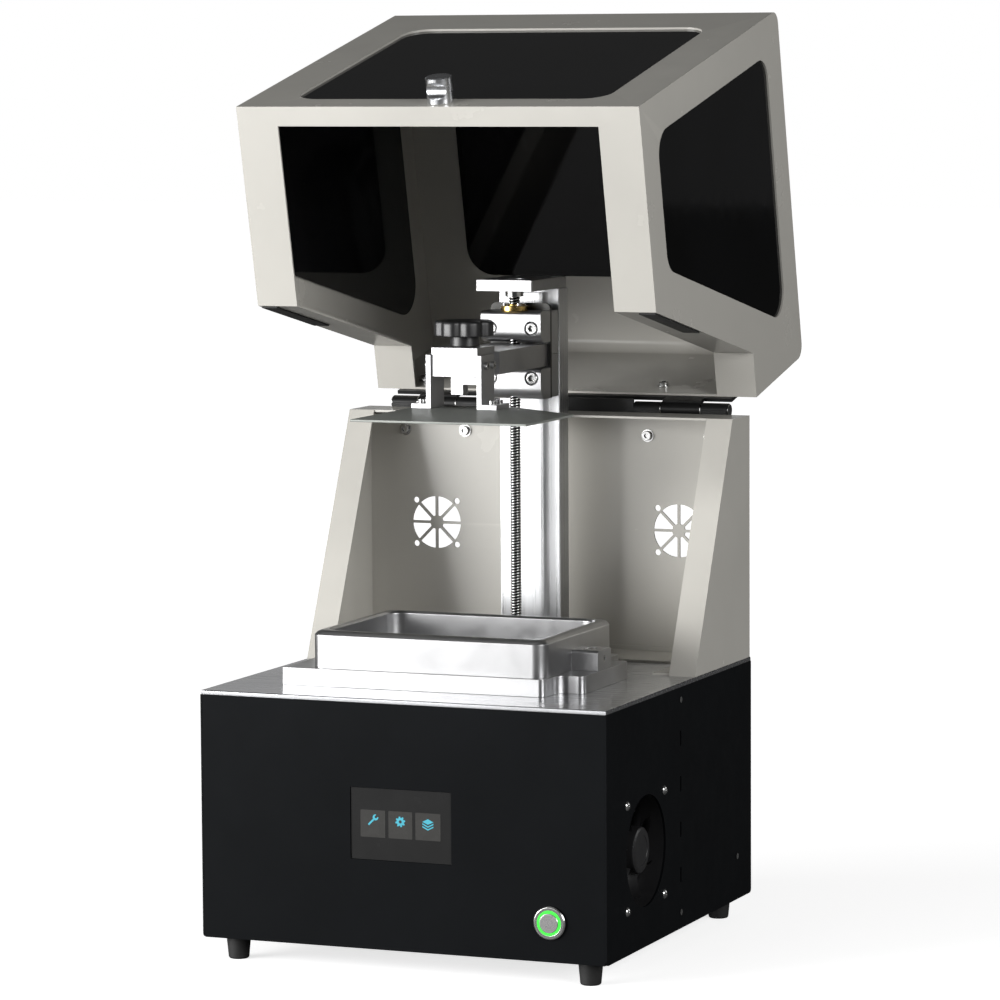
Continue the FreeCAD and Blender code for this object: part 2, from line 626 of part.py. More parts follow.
def column():
    half = COLUMN_W / 2
    body = box(-half, half, COLUMN_Y, COLUMN_BACK, DECK_TOP, COLUMN_TOP)
    back = box(-8, 8, COLUMN_BACK - 6, COLUMN_BACK + 1, DECK_TOP - 1, COLUMN_TOP + 1)
    bores = [rod(2.45, vec(x, 244.7, DECK_TOP - 1), Z_AXIS, 14.0) for x in (-16, 16)]
    bores += [rod(2.2, vec(x, END_BOLT_Y, COLUMN_TOP - 5), Z_AXIS, 6.0) for x in (-END_BOLT_X, END_BOLT_X)]
    body = cut(body, [back] + bores)
    corners = edges_where(body, lambda a, b: upright(a, b) and abs(abs(a.x) - half) < 1e-6)
    return body.makeChamfer(0.5, corners)


def column_bolts():
    """Screws that come up through the deck into the foot of the column."""
    return [cap_screw(vec(x, 244.7, CASE_TOP), Z_AXIS, 3.9, 3.0, 2.4, 14.0) for x in (-16, 16)]


def dovetail(wider, front, back):
    """The rail's outline seen from above, grown sideways by wider, from front to back."""
    slope = RAIL_FLARE / RAIL_H
    outline = []
    for side, y in ((-1, front), (1, front), (1, back), (-1, back)):
        half = RAIL_W / 2 + wider - slope * (y - (COLUMN_Y - RAIL_H))
        outline.append((side * half, y))
    return outline


def linear_rail():
    """A flat dovetail rail, fixed to the column from behind."""
    return slab_xy(dovetail(0, COLUMN_Y - RAIL_H, COLUMN_Y), DECK_TOP + 8, COLUMN_TOP - 3)


def end_plate():
    half = 21.5
    plate = box(-half, half, 189.0, COLUMN_BACK, COLUMN_TOP, COLUMN_TOP + END_PLATE_T)
    corners = edges_where(plate, lambda a, b: upright(a, b) and a.y < 190)
    plate = plate.makeChamfer(0.8, corners)
    bearing = rod(8.0, vec(0, SCREW_Y, COLUMN_TOP - 1), Z_AXIS, END_PLATE_T + 2)
    bolts = []
    for x in (-END_BOLT_X, END_BOLT_X):
        bolts.append(rod(2.2, vec(x, END_BOLT_Y, COLUMN_TOP - 1), Z_AXIS, END_PLATE_T + 2))
        bolts.append(rod(4.1, vec(x, END_BOLT_Y, COLUMN_TOP + END_HEAD_Z), Z_AXIS, END_PLATE_T))
    return cut(plate, [bearing] + bolts)


END_BOLT_X, END_BOLT_Y = 14.0, 244.7
END_HEAD_Z = 5.2                   # floor of the bolts' counterbores, above the column


def top_bearing():
    centre = vec(0, SCREW_Y, COLUMN_TOP)
    ring = fuse([rod(8.0, centre, Z_AXIS, 5.0), rod(6.5, centre - Z_AXIS * 4.5, Z_AXIS, 4.5)])
    return ring.cut(rod(SCREW_R + 0.05, centre - Z_AXIS * 5, Z_AXIS, 12.0))


def end_plate_screws():
    return [cap_screw(vec(x, END_BOLT_Y, COLUMN_TOP + END_HEAD_Z), -Z_AXIS, 3.8, 2.6, 2.1, 8.0)
            for x in (-END_BOLT_X, END_BOLT_X)]


def column_screws():
    return group(column_bolts() + end_plate_screws())


def z_motor():
    half = 21.1
    body = box(-half, half, SCREW_Y - half, SCREW_Y + half, MOTOR_LOW, MOTOR_HIGH)
    body = body.makeChamfer(4.0, edges_where(body, upright))
    band = []
    for sx in (-1, 1):
        for sy in (-1, 1):
            corner = box(-3, 3, -3, 3, MOTOR_LOW + 9, MOTOR_HIGH - 9)
            corner.rotate(vec(0, 0, 0), Z_AXIS, 45)
            corner.translate(vec(sx * (half - 0.9), SCREW_Y + sy * (half - 0.9), 0))
            band.append(corner)
    boss = rod(11.0, vec(0, SCREW_Y, MOTOR_HIGH), Z_AXIS, 2.0)
    bore = rod(SCREW_R + 0.05, vec(0, SCREW_Y, MOTOR_LOW + 6), Z_AXIS, 60)
    holes = [rod(1.6, vec(x, y, MOTOR_HIGH - 5), Z_AXIS, 6) for x, y in motor_bolts()]
    return cut(fuse([body, boss]), band + [bore] + holes)


def motor_screws():
    return [cap_screw(vec(x, y, DECK_TOP), -Z_AXIS, 2.8, 2.6, 1.5, 7.0) for x, y in motor_bolts()]


def case_screws():
    return group(foot_screws() + inlet_screws() + motor_screws() + board_spacers())


def lead_screw():
    top = COLUMN_TOP + 6.0
    low = MOTOR_LOW + 7
    screw = rod(SCREW_R, vec(0, SCREW_Y, low), Z_AXIS, top - low)
    return screw.makeChamfer(0.6, [e for e in screw.Edges if e.Closed])


# ---- Z carriage -----------------------------------------------------------------------------
CLAMP_FRONT, CLAMP_BACK = 201.0, 219.5
CLAMP_HALF = 22.7
UPPER_LOW, UPPER_HIGH = 414.5, 436.5
LOWER_LOW, LOWER_HIGH = 374.4, 396.0
CLAMP_SCREWS = {UPPER_LOW: 424.4, LOWER_LOW: 389.4}     # heights of the screws, per bar
CARRIAGE_BACK, CARRIAGE_HIGH = 222.5, 441.5
CLAMP_SCREW_X = 15.5


def screw_passage(low, high, radius=6.0):
    return rod(radius, vec(0, SCREW_Y, low - 1), Z_AXIS, high - low + 2)


def clamp_bar(low, high):
    """A cross bar in front of the lead screw, rounded along its lower front edge."""
    bar = box(-CLAMP_HALF, CLAMP_HALF, CLAMP_FRONT, CLAMP_BACK, low, high)
    lower = edges_where(bar, lambda a, b: a.y < CLAMP_FRONT + 1 and b.y < CLAMP_FRONT + 1
                        and abs(a.z - low) < 1e-6 and abs(b.z - low) < 1e-6)
    bar = bar.makeFillet(8.0, lower)
    upper = edges_where(bar, lambda a, b: a.y < CLAMP_FRONT + 1 and b.y < CLAMP_FRONT + 1
                        and abs(a.z - high) < 1e-6 and abs(b.z - high) < 1e-6)
    bar = bar.makeFillet(3.0, upper)
    return bar


def screw_wells(low):
    z = CLAMP_SCREWS[low]
    wells = []
    for x in (-CLAMP_SCREW_X, CLAMP_SCREW_X):
        wells.append(rod(5.2, vec(x, CLAMP_FRONT - 1, z), Y_AXIS, 5.5))
        wells.append(rod(2.6, vec(x, CLAMP_FRONT, z), Y_AXIS, 20))
    return wells


def upper_clamp():
    bore = rod(NUT_BODY_R + 0.05, vec(0, SCREW_Y, UPPER_LOW - 1), Z_AXIS, 30)
    return cut(clamp_bar(UPPER_LOW, UPPER_HIGH), screw_wells(UPPER_LOW) + [bore])


def lower_clamp():
    tools = screw_wells(LOWER_LOW) + [screw_passage(LOWER_LOW, LOWER_HIGH, 5.0)]
    return cut(clamp_bar(LOWER_LOW, LOWER_HIGH), tools)


def clamp_bars():
    return group([upper_clamp(), lower_clamp()])


def carriage_screws():
    screws = nut_screws()
    for z in CLAMP_SCREWS.values():
        for x in (-CLAMP_SCREW_X, CLAMP_SCREW_X):
            screws.append(cap_screw(vec(x, CLAMP_FRONT + 4.5, z), Y_AXIS, 4.3, 4.4, 2.4, 16.0))
    return group(screws)


def carriage_plate():
    plate = box(-CLAMP_HALF, CLAMP_HALF, CLAMP_BACK, CARRIAGE_BACK, LOWER_LOW, CARRIAGE_HIGH)
    corners = edges_where(plate, lambda a, b: abs(a.y - b.y) > 1 and a.z > CARRIAGE_HIGH - 1)
    plate = plate.makeFillet(4.0, corners)
    tools = [rod(2.5, vec(x, CLAMP_BACK - 1, z), Y_AXIS, 12)
             for z in CLAMP_SCREWS.values() for x in (-CLAMP_SCREW_X, CLAMP_SCREW_X)]
    return cut(plate, tools)


BLOCK_HALF_W, BLOCK_H = 22.4, 30.4   # half the width of a guide block, and its height
BLOCK_GAP = 0.6                    # between a block and the column


def guide_blocks():
    """Two bearing blocks that hold the carriage on the rail."""
    front = COLUMN_Y - RAIL_H - RAIL_CLEAR
    blocks = []
    for low in (LOWER_LOW + 0.5, UPPER_HIGH - 0.5 - BLOCK_H):
        block = box(-BLOCK_HALF_W, BLOCK_HALF_W, CARRIAGE_BACK, COLUMN_Y - BLOCK_GAP, low, low + BLOCK_H)
        slot = slab_xy(dovetail(RAIL_CLEAR, front, COLUMN_Y), low - 1, low + BLOCK_H + 1)
        blocks.append(block.cut(slot))
    return group(blocks)


NUT_BODY_R, NUT_FLANGE_R = 5.1, 9.6


def drive_nut():
    z = UPPER_HIGH
    flange = rod(NUT_FLANGE_R, vec(0, SCREW_Y, z), Z_AXIS, 3.5)
    collar = rod(NUT_BODY_R, vec(0, SCREW_Y, z + 3.5), Z_AXIS, 1.3)
    body = rod(NUT_BODY_R, vec(0, SCREW_Y, z - 14.0), Z_AXIS, 14.0)
    bore = rod(SCREW_R + 0.05, vec(0, SCREW_Y, z - 15), Z_AXIS, 30)
    return fuse([flange, collar, body]).cut(bore)


def nut_screws():
    screws = []
    for i in range(4):
        a = math.radians(45 + 90 * i)
        at = vec(7.5 * math.cos(a), SCREW_Y + 7.5 * math.sin(a), UPPER_HIGH + 3.5)
        screws.append(rod(1.5, at, Z_AXIS, 2.0))
    return screws


ARM_HALF, ARM_FRONT = 20.5, 130.0
TONGUE_HALF, TONGUE_FRONT = 14.0, 104.0
TONGUE_LOW, TONGUE_HIGH = 402.0, 408.0


def platform_arm():
    arm = box(-ARM_HALF, ARM_HALF, ARM_FRONT, CLAMP_BACK, ARM_LOW, ARM_HIGH)
    tongue = box(-TONGUE_HALF, TONGUE_HALF, TONGUE_FRONT, ARM_FRONT, TONGUE_LOW, TONGUE_HIGH)
    pocket = box(-12, 12, ARM_FRONT + 12, 192, ARM_LOW - 1, ARM_LOW + 9)
    return cut(fuse([arm, tongue]), [screw_passage(ARM_LOW, ARM_HIGH), pocket])


# ---- build platform -------------------------------------------------------------------------
BLOCK_HALF, BLOCK_FRONT, BLOCK_BACK = 17.0, 98.8, 129.8
BLOCK_LOW, BLOCK_HIGH = 397.0, 417.0
KNOB_Y = 117.0
BRACKET_FRONT, BRACKET_BACK = 97.0, 120.5
BRACKET_HIGH = 412.0


def build_plate():
    """A flat plate whose top rises in four shallow slopes to a raised middle."""
    hx, hy = PLATE_W / 2, PLATE_D / 2
    y = BUILD_Y + 1
    slab = box(-hx, hx, y - hy, y + hy, PLATE_LOW, PLATE_EDGE)
    loops = []
    for wx, wy, z in ((hx, hy, PLATE_EDGE), (34.0, 15.0, PLATE_HIGH)):
        loops.append(outline([vec(a, b, z) for a, b in rect(-wx, wx, y - wy, y + wy)]))
    return fuse([slab, Part.makeLoft(loops, True, True)])


def clamp_block():
    block = box(-BLOCK_HALF, BLOCK_HALF, BLOCK_FRONT, BLOCK_BACK, BLOCK_LOW, BLOCK_HIGH)
    slot = box(-TONGUE_HALF - 0.3, TONGUE_HALF + 0.3, TONGUE_FRONT - 0.4, BLOCK_BACK + 1,
               TONGUE_LOW - 0.3, TONGUE_HIGH + 0.3)
    stud = rod(4.3, vec(0, KNOB_Y, TONGUE_HIGH), Z_AXIS, 12)
    tail = fuse([box(-4.5, BLOCK_HALF, 103, 112, 391.5, BLOCK_LOW),
                 box(-4.5, 4.5, 103, 112, 384.5, 391.5)])
    return fuse([cut(block, [slot, stud]), tail])


def plate_brackets():
    """Two angle brackets that stand on the build plate and hold the clamp block."""
    upright_leg = box(BLOCK_HALF, BLOCK_HALF + 3.6, BRACKET_FRONT, BRACKET_BACK,
                      PLATE_HIGH, BRACKET_HIGH)
    foot = box(BLOCK_HALF, 31.6, BRACKET_FRONT, BRACKET_BACK, PLATE_HIGH, PLATE_HIGH + 3.4)
    return pair(fuse([upright_leg, foot]))


def bracket_screws():
    screws = []
    for side in (-1, 1):
        for y in (102.8, 114.8):
            head = vec(side * 26.2, y, PLATE_HIGH + 3.4)
            screws.append(rod(2.7, head, Z_AXIS, 2.6).cut(hex_prism(1.5, head + Z_AXIS, Z_AXIS, 2.0)))
            tip = vec(side * (BLOCK_HALF + 3.6), y + 1.0, 404.6)
            screws.append(rod(2.6, tip, X_AXIS * side, 2.4).cut(
                hex_prism(1.4, tip + X_AXIS * side * 2.5, -X_AXIS * side, 1.5)))
    return group(screws)


def star_knob():
    """The black hand knob with its threaded stud, which clamps the platform to the arm."""
    centre = vec(0, KNOB_Y, 424.0)
    head = rod(17.6, centre, Z_AXIS, 11.0)
    lobes = []
    hollows = []
    for i in range(7):
        a = 2 * math.pi * i / 7
        lobes.append(rod(5.4, vec(15.2 * math.cos(a), KNOB_Y + 15.2 * math.sin(a), 424.0), Z_AXIS, 11))
        b = a + math.pi / 7
        hollows.append(rod(4.6, vec(21.0 * math.cos(b), KNOB_Y + 21.0 * math.sin(b), 423), Z_AXIS, 13))
    head = fuse([head] + lobes)
    head = cut(head, hollows)
    neck = rod(10.3, vec(0, KNOB_Y, BLOCK_HIGH + 0.2), Z_AXIS, 424.0 - BLOCK_HIGH - 0.2)
    stud = rod(4.0, vec(0, KNOB_Y, TONGUE_HIGH + 0.25), Z_AXIS, 12)
    return fuse([head, neck, stud])


# ---- rear shell -----------------------------------------------------------------------------
def grille_cutters(x):
    """Eight sectors between a hub and a ring, and four open corner holes."""
    y0, depth = SHELL_BACK - SHEET - 1, SHEET + 2
    centre = vec(x, y0, GRILLE_Z)
    ring = rod(19.0, centre, Y_AXIS, depth).cut(rod(5.0, centre, Y_AXIS, depth))
    spokes = []
    for i in range(4):
        bar = box(x - 20, x + 20, y0, y0 + depth, GRILLE_Z - 1.0, GRILLE_Z + 1.0)
        bar.rotate(centre, Y_AXIS, 45 * i)
        spokes.append(bar)
    half = GRILLE_HOLES / 2
    holes = [rod(2.15, vec(x + sx * half, y0, GRILLE_Z + sz * half), Y_AXIS, depth)
             for sx in (-1, 1) for sz in (-1, 1)]
    return [cut(ring, spokes)] + holes


def shell_back():
    half = SHELL_X - SHEET
    inner = SHELL_BACK - SHEET
    panel = box(-half, half, inner, SHELL_BACK, DECK_TOP, SHELL_TOP)
    floor = box(-half, half, 235.5, inner, DECK_TOP, DECK_TOP + SHEET)
    hem = box(-half, half, inner - 1.2, inner, DECK_TOP + SHEET, DECK_TOP + 4.5)
    head = box(-half, half, SHELL_HEAD_Y + 0.4, inner, SHELL_TOP - SHEET, SHELL_TOP)
    foot_gap = box(-COLUMN_W / 2 - 1, COLUMN_W / 2 + 1, 234, COLUMN_BACK + 1, DECK_TOP - 1, DECK_TOP + 3)
    head_gap = box(-COLUMN_W / 2 - 1.5, COLUMN_W / 2 + 1.5, 250, COLUMN_BACK + 1.5,
                   SHELL_TOP - 4, SHELL_TOP + 1)
    holes = [rod(2.2, vec(x, inner - 1, SHELL_SCREW_Z), Y_AXIS, 4) for x in hinge_screw_xs()]
    tools = [foot_gap, head_gap] + holes + grille_cutters(GRILLE_X) + grille_cutters(-GRILLE_X)
    return cut(fuse([panel, floor, hem, head]), tools)


SHELL_SCREW_Z = 343.7
HOOD_SCREW_Z = 392.0


def hinge_screw_xs():
    return [side * (HINGE_X + s * 23.7) for side in (-1, 1) for s in (-1, 1)]


def right_wing():
    x1 = SHELL_X
    wing = slab_yz([(SHELL_FOOT_Y, DECK_TOP), (SHELL_BACK, DECK_TOP), (SHELL_BACK, SHELL_TOP),
                    (SHELL_HEAD_Y, SHELL_TOP)], x1 - SHEET, x1)
    length = (SHELL_TOP - DECK_TOP) / math.cos(SLANT)
    lean = SHEET / math.cos(SLANT)
    flange = slab_yz([(SHELL_FOOT_Y, DECK_TOP), (SHELL_FOOT_Y + lean, DECK_TOP),
                      (SHELL_HEAD_Y + lean, SHELL_TOP), (SHELL_HEAD_Y, SHELL_TOP)],
                     x1 - WING_FLANGE, x1)
    foot = box(x1 - 32, x1 - SHEET, SHELL_FOOT_Y + 1.5, 235.0, DECK_TOP, DECK_TOP + SHEET)
    return fuse([wing, flange, foot])


def rear_shell():
    return fuse([shell_back(), right_wing(), mirrored(right_wing())])


# ---- hood hinges ----------------------------------------------------------------------------
KNUCKLE_SPLIT = 14.6               # half length of the middle knuckle
HINGE_HALF = 35.5
WASHER_T = 0.8
LEAF_T = 2.6
STRIP_LOW, STRIP_STEP = 332.0, 356.5    # fixed strip: lower edge and notch below each hinge
HOOD_STRIP_HIGH = 402.0
PIN_R, PIN_HEAD_R = 2.0, 4.4
STRIP_HIGH = 369.5                 # top of the fixed strip between the hinges
HOOD_STRIP_LOW = 369.9             # bottom of the hood's strip


def barrel(x0, x1):
    outer = rod(HINGE_R, vec(x0, HINGE_Y, HINGE_Z), X_AXIS, x1 - x0)
    return outer.cut(rod(2.05, vec(x0 - 1, HINGE_Y, HINGE_Z), X_AXIS, x1 - x0 + 2))


def screw_holes(x, y0, z):
    return [rod(2.2, vec(x + s * 23.7, y0 - 1, z), Y_AXIS, 5) for s in (-1, 1)]


def fixed_strip():
    """The black strip behind the shell, the same for both hinges, with their outer knuckles."""
    gap = KNUCKLE_SPLIT + WASHER_T + 0.3
    y0, y1 = SHELL_BACK, SHELL_BACK + LEAF_T
    half = HINGE_X + HINGE_HALF
    between = HINGE_X - HINGE_HALF
    strip = fuse([box(-half, half, y0, y1, STRIP_LOW, STRIP_STEP),
                  box(-between, between, y0, y1, STRIP_STEP, STRIP_HIGH)])
    tools = []
    knuckles = []
    for x in (-HINGE_X, HINGE_X):
        low, high = x - HINGE_HALF, x + HINGE_HALF
        knuckles += [barrel(low, x - gap), barrel(x + gap, high)]
        knuckles += [box(low, x - gap, y0, y1, STRIP_STEP, HINGE_Z),
                     box(x + gap, high, y0, y1, STRIP_STEP, HINGE_Z)]
        tools.append(rod(PIN_R + 0.05, vec(low - 1, HINGE_Y, HINGE_Z), X_AXIS, 2 * HINGE_HALF + 2))
        tools += screw_holes(x, y0, SHELL_SCREW_Z)
    return cut(fuse([strip] + knuckles), tools)


def hood_strip():
    """The black strip behind the hood, with the middle knuckles, in the closed position."""
    split = KNUCKLE_SPLIT
    y0, y1 = HOOD_BACK, HOOD_BACK + LEAF_T
    half = HINGE_X + HINGE_HALF
    pieces = [box(-half, half, y0, y1, HOOD_STRIP_LOW, HOOD_STRIP_HIGH)]
    tools = []
    for x in (-HINGE_X, HINGE_X):
        pieces += [box(x - split, x + split, y0, y1, HINGE_Z, HOOD_STRIP_LOW),
                   barrel(x - split, x + split)]
        tools.append(rod(PIN_R + 0.05, vec(x - split - 1, HINGE_Y, HINGE_Z), X_AXIS, 2 * split + 2))
        tools += screw_holes(x, y0, HOOD_SCREW_Z)
    return opened(cut(fuse(pieces), tools))


def hinge_pins():
    """A pin with a head, and a washer on each side of the middle knuckle."""
    axis_point = vec(HINGE_X - HINGE_HALF, HINGE_Y, HINGE_Z)
    pieces = [rod(PIN_R, axis_point, X_AXIS, 2 * HINGE_HALF),
              rod(PIN_HEAD_R, vec(HINGE_X + HINGE_HALF, HINGE_Y, HINGE_Z), X_AXIS, 0.8)]
    for side in (-1, 1):
        x = HINGE_X + side * (KNUCKLE_SPLIT + WASHER_T / 2 + 0.15) - WASHER_T / 2
        pieces.append(rod(HINGE_R + 0.3, vec(x, HINGE_Y, HINGE_Z), X_AXIS, WASHER_T))
    return pair(fuse(pieces))


def washered_screw(x, y, z):
    """A pan-head screw with a washer, its head towards the front."""
    washer = rod(4.6, vec(x, y - 0.9, z), Y_AXIS, 0.9)
    head = cap_screw(vec(x, y - 0.9, z), Y_AXIS, 3.4, 2.4, 2.0, 5.0)
    return fuse([washer, head])


def shell_hinge_screws():
    y = SHELL_BACK - SHEET
    return group([washered_screw(x, y, SHELL_SCREW_Z) for x in hinge_screw_xs()])


def hood_screws():
    y = HOOD_BACK - SHEET
    screws = [washered_screw(x, y, HOOD_SCREW_Z) for x in hinge_screw_xs()]
    knob_end = vec(0, HOOD_FRONT + SHEET, HOOD_KNOB_Z)
    screws.append(cap_screw(knob_end, -Y_AXIS, 3.6, 2.4, 2.0, SHEET))
    return group([opened(screw) for screw in screws])


# ---- hood -----------------------------------------------------------------------------------
FRONT_WIN = (115.0, 211.5, 425.0)  # half width, bottom and top
TOP_WIN = (107.0, 89.0, 226.0)     # half width, front and back
SIDE_WIN = [(55.5, 219.0), (149.5, 219.0), (254.0, 450.0), (55.5, 450.0)]
WIN_R = 18.0
WIN_T = 2.0
WIN_LAP = 3.0                      # how far the panes reach behind the openings' edges
HOOD_KNOB_Z = 202.0
PULL_L = 18.0


def hood_side_outline(inset=0.0):
    """The hood's closed side view, front bottom corner first."""
    f, b, t, low = HOOD_FRONT + inset, HOOD_BACK - inset, HOOD_TOP - inset, HOOD_LOW
    return [(f, low), (HOOD_KNEE_Y, low), (HOOD_HEEL_Y, HOOD_HEEL_Z), (b, HOOD_HEEL_Z), (b, t), (f, t)]


def rounded_hood_side(x0, x1, inset):
    body = slab_yz(hood_side_outline(inset), x0, x1)
    tops = edges_where(body, lambda a, b: abs(a.x - b.x) > 1 and a.z > HOOD_TOP - inset - 1
                       and b.z > HOOD_TOP - inset - 1)
    return body.makeFillet(HOOD_BEND - inset, tops)


def hood_wrap():
    """The front, top and back of the closed hood, with the front rim of the mouth."""
    half = SHELL_X - SHEET
    outer = rounded_hood_side(-half, half, 0.0)
    inner = rounded_hood_side(-half, half, SHEET)
    sheet = outer.cut(inner)
    f, low = HOOD_FRONT, HOOD_LOW
    rim = box(-half, half, f, f + RIM_FRONT, low, low + SHEET)
    wx, z0, z1 = FRONT_WIN
    front = slab_xz([(-wx, z0), (wx, z0), (wx, z1), (-wx, z1)], f - 1, f + SHEET + 1, WIN_R)
    wx, y0, y1 = TOP_WIN
    top = slab_xy(rect(-wx, wx, y0, y1), HOOD_TOP - SHEET - 1, HOOD_TOP + 1, WIN_R)
    holes = [rod(2.2, vec(x, HOOD_BACK - 3, HOOD_SCREW_Z), Y_AXIS, 5) for x in hinge_screw_xs()]
    knob = rod(2.2, vec(0, f - 1, HOOD_KNOB_Z), Y_AXIS, 4)
    return cut(fuse([sheet, rim]), [front, top, knob] + holes)


def hood_right_side():
    x1 = SHELL_X
    wall = rounded_hood_side(x1 - SHEET, x1, 0.0)
    window = slab_yz(SIDE_WIN, x1 - SHEET - 1, x1 + 1, WIN_R)
    low = HOOD_LOW
    bottom = box(x1 - RIM_SIDE, x1 - SHEET, HOOD_FRONT + RIM_FRONT, HOOD_KNEE_Y, low, low + SHEET)
    slope = math.atan2(HOOD_HEEL_Y - HOOD_KNEE_Y, HOOD_HEEL_Z - low)
    lean = SHEET / math.cos(slope)
    slanted = slab_yz([(HOOD_KNEE_Y - lean, low), (HOOD_KNEE_Y, low), (HOOD_HEEL_Y, HOOD_HEEL_Z),
                       (HOOD_HEEL_Y - lean, HOOD_HEEL_Z)], x1 - RIM_SIDE, x1 - SHEET)
    heel = box(x1 - RIM_SIDE, x1 - SHEET, HOOD_HEEL_Y - lean, HOOD_BACK - SHEET,
               HOOD_HEEL_Z, HOOD_HEEL_Z + SHEET)
    return fuse([wall.cut(window), bottom, slanted, heel])


def hood_shell():
    """The welded sheet-metal hood: wrap and sides in one piece."""
    right = hood_right_side()
    return opened(fuse([hood_wrap(), right, mirrored(right)]))


def hood_front_window():
    wx, z0, z1 = FRONT_WIN
    lap = WIN_LAP
    y = HOOD_FRONT + SHEET
    return opened(slab_xz([(-wx - lap, z0 - lap), (wx + lap, z0 - lap), (wx + lap, z1 + lap),
                           (-wx - lap, z1 + lap)], y, y + WIN_T, WIN_R + lap))


def hood_top_window():
    wx, y0, y1 = TOP_WIN
    lap = WIN_LAP
    z = HOOD_TOP - SHEET
    return opened(slab_xy(rect(-wx - lap, wx + lap, y0 - lap, y1 + lap), z - WIN_T, z, WIN_R + lap))


def hood_right_window():
    x, lap = SHELL_X - SHEET, WIN_LAP
    (ya, za), (yb, zb), (yc, zc), (yd, zd) = SIDE_WIN
    pane = [(ya - lap, za - lap), (yb + lap * 0.65, zb - lap), (yc + lap * 1.55, zc + lap),
            (yd - lap, zd + lap)]
    return opened(slab_yz(pane, x - WIN_T, x, WIN_R + lap))


def hood_side_windows():
    return pair(hood_right_window())


def hood_seals():
    """Rubber strips on the lower part of the slanted rims, which meet the wings."""
    slope = math.atan2(HOOD_HEEL_Y - HOOD_KNEE_Y, HOOD_HEEL_Z - HOOD_LOW)
    points = []
    for along, out in ((3, 0), (92, 0), (92, 1.1), (3, 1.1)):
        points.append((HOOD_KNEE_Y + along * math.sin(slope) + out * math.cos(slope),
                       HOOD_LOW + along * math.cos(slope) - out * math.sin(slope)))
    return pair(opened(slab_yz(points, SHELL_X - 13.5, SHELL_X - 1.5)))


def hood_knob():
    """A round pull with a scooped waist."""
    start = vec(0, HOOD_FRONT, HOOD_KNOB_Z)
    pull = rod(9.0, start, -Y_AXIS, PULL_L)
    pull = pull.makeChamfer(0.6, [e for e in pull.Edges if e.Closed])
    scoops = []
    for side in (-1, 1):
        at = vec(-15, HOOD_FRONT - PULL_L / 2 - 0.5, HOOD_KNOB_Z + side * 12.0)
        scoops.append(rod(6.6, at, X_AXIS, 30))
    return opened(cut(pull, scoops))


# ---- write every piece ----------------------------------------------------------------------
PIECES = (
    case_frame, rubber_feet, case_screws, front_panel, right_panel, left_panel, panel_screws,
    rear_panel, deck_plate, display_glass, display_module, button_bezel, button_light, button_cap,
    fan_frame, fan_rotor, lamp_heat_sink, lamp_brackets, led_board, light_funnel, power_supply,
    control_board, power_inlet, usb_port, vat_frame, masking_screen, vat_body, vat_film, vat_screws,
    column, column_screws, linear_rail, end_plate, top_bearing, z_motor, lead_screw,
    clamp_bars, carriage_plate, carriage_screws, guide_blocks, drive_nut, platform_arm,
    build_plate, clamp_block, plate_brackets, bracket_screws, star_knob, rear_shell,
    shell_hinge_screws, fixed_strip, hinge_pins, hood_shell, hood_front_window,
    hood_top_window, hood_side_windows, hood_seals, hood_knob, hood_screws, hood_strip,
)


def main():
    os.makedirs("parts", exist_ok=True)
    for make in PIECES:
        name = make.__name__
        shape = make()
        shape.translate(vec(0, -MIDDLE_Y, 0))
        shape.exportStep("parts/%s.step" % name)
        box_ = shape.BoundBox
        print("%-18s valid=%s solids=%d vol=%.0f  x %.1f..%.1f y %.1f..%.1f z %.1f..%.1f" % (
            name, shape.isValid(), len(shape.Solids), shape.Volume, box_.XMin, box_.XMax,
            box_.YMin, box_.YMax, box_.ZMin, box_.ZMax))


main()
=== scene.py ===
import math

import bmesh
import bpy
from mathutils import Matrix, Vector


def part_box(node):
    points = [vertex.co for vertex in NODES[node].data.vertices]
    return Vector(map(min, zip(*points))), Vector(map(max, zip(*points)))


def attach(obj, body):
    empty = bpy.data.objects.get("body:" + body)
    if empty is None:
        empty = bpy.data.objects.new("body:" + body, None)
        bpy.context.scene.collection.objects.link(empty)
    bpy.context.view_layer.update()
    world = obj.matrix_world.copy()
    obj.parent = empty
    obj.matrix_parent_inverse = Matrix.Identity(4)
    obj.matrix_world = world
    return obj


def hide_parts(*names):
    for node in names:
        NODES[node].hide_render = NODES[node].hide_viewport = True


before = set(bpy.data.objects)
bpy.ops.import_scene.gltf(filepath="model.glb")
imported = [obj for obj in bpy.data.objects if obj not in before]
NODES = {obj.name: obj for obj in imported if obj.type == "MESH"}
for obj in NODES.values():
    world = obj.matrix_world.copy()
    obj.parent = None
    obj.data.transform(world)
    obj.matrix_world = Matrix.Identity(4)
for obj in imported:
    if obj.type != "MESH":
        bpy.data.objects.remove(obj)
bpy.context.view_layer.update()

Y0 = -0.201                        # y of the case's front face
CAMERA_TURN, CAMERA_DIP, CAMERA_ROLL = 0.388515, 0.097726, 0.005739      # radians
CAMERA_LENS, CAMERA_SENSOR = 165.857, 36.0                               # mm
CAMERA_CLIP = 50.0


def mm(x, y, z):
    """A point given in millimetres, with y counted from the case's front."""
    return Vector((x / 1000, y / 1000 + Y0, z / 1000))


CAMERA_PLACE = mm(1220.03, -2801.09, 620.72)
SCREW_AXIS = mm(0, 208.7, 0)
KNOB_AXIS = mm(0, 117, 0)
BUTTON_AXIS = mm(107.6, 0, 43.2)
FAN_AXIS = mm(0, 74.7, 82.0)


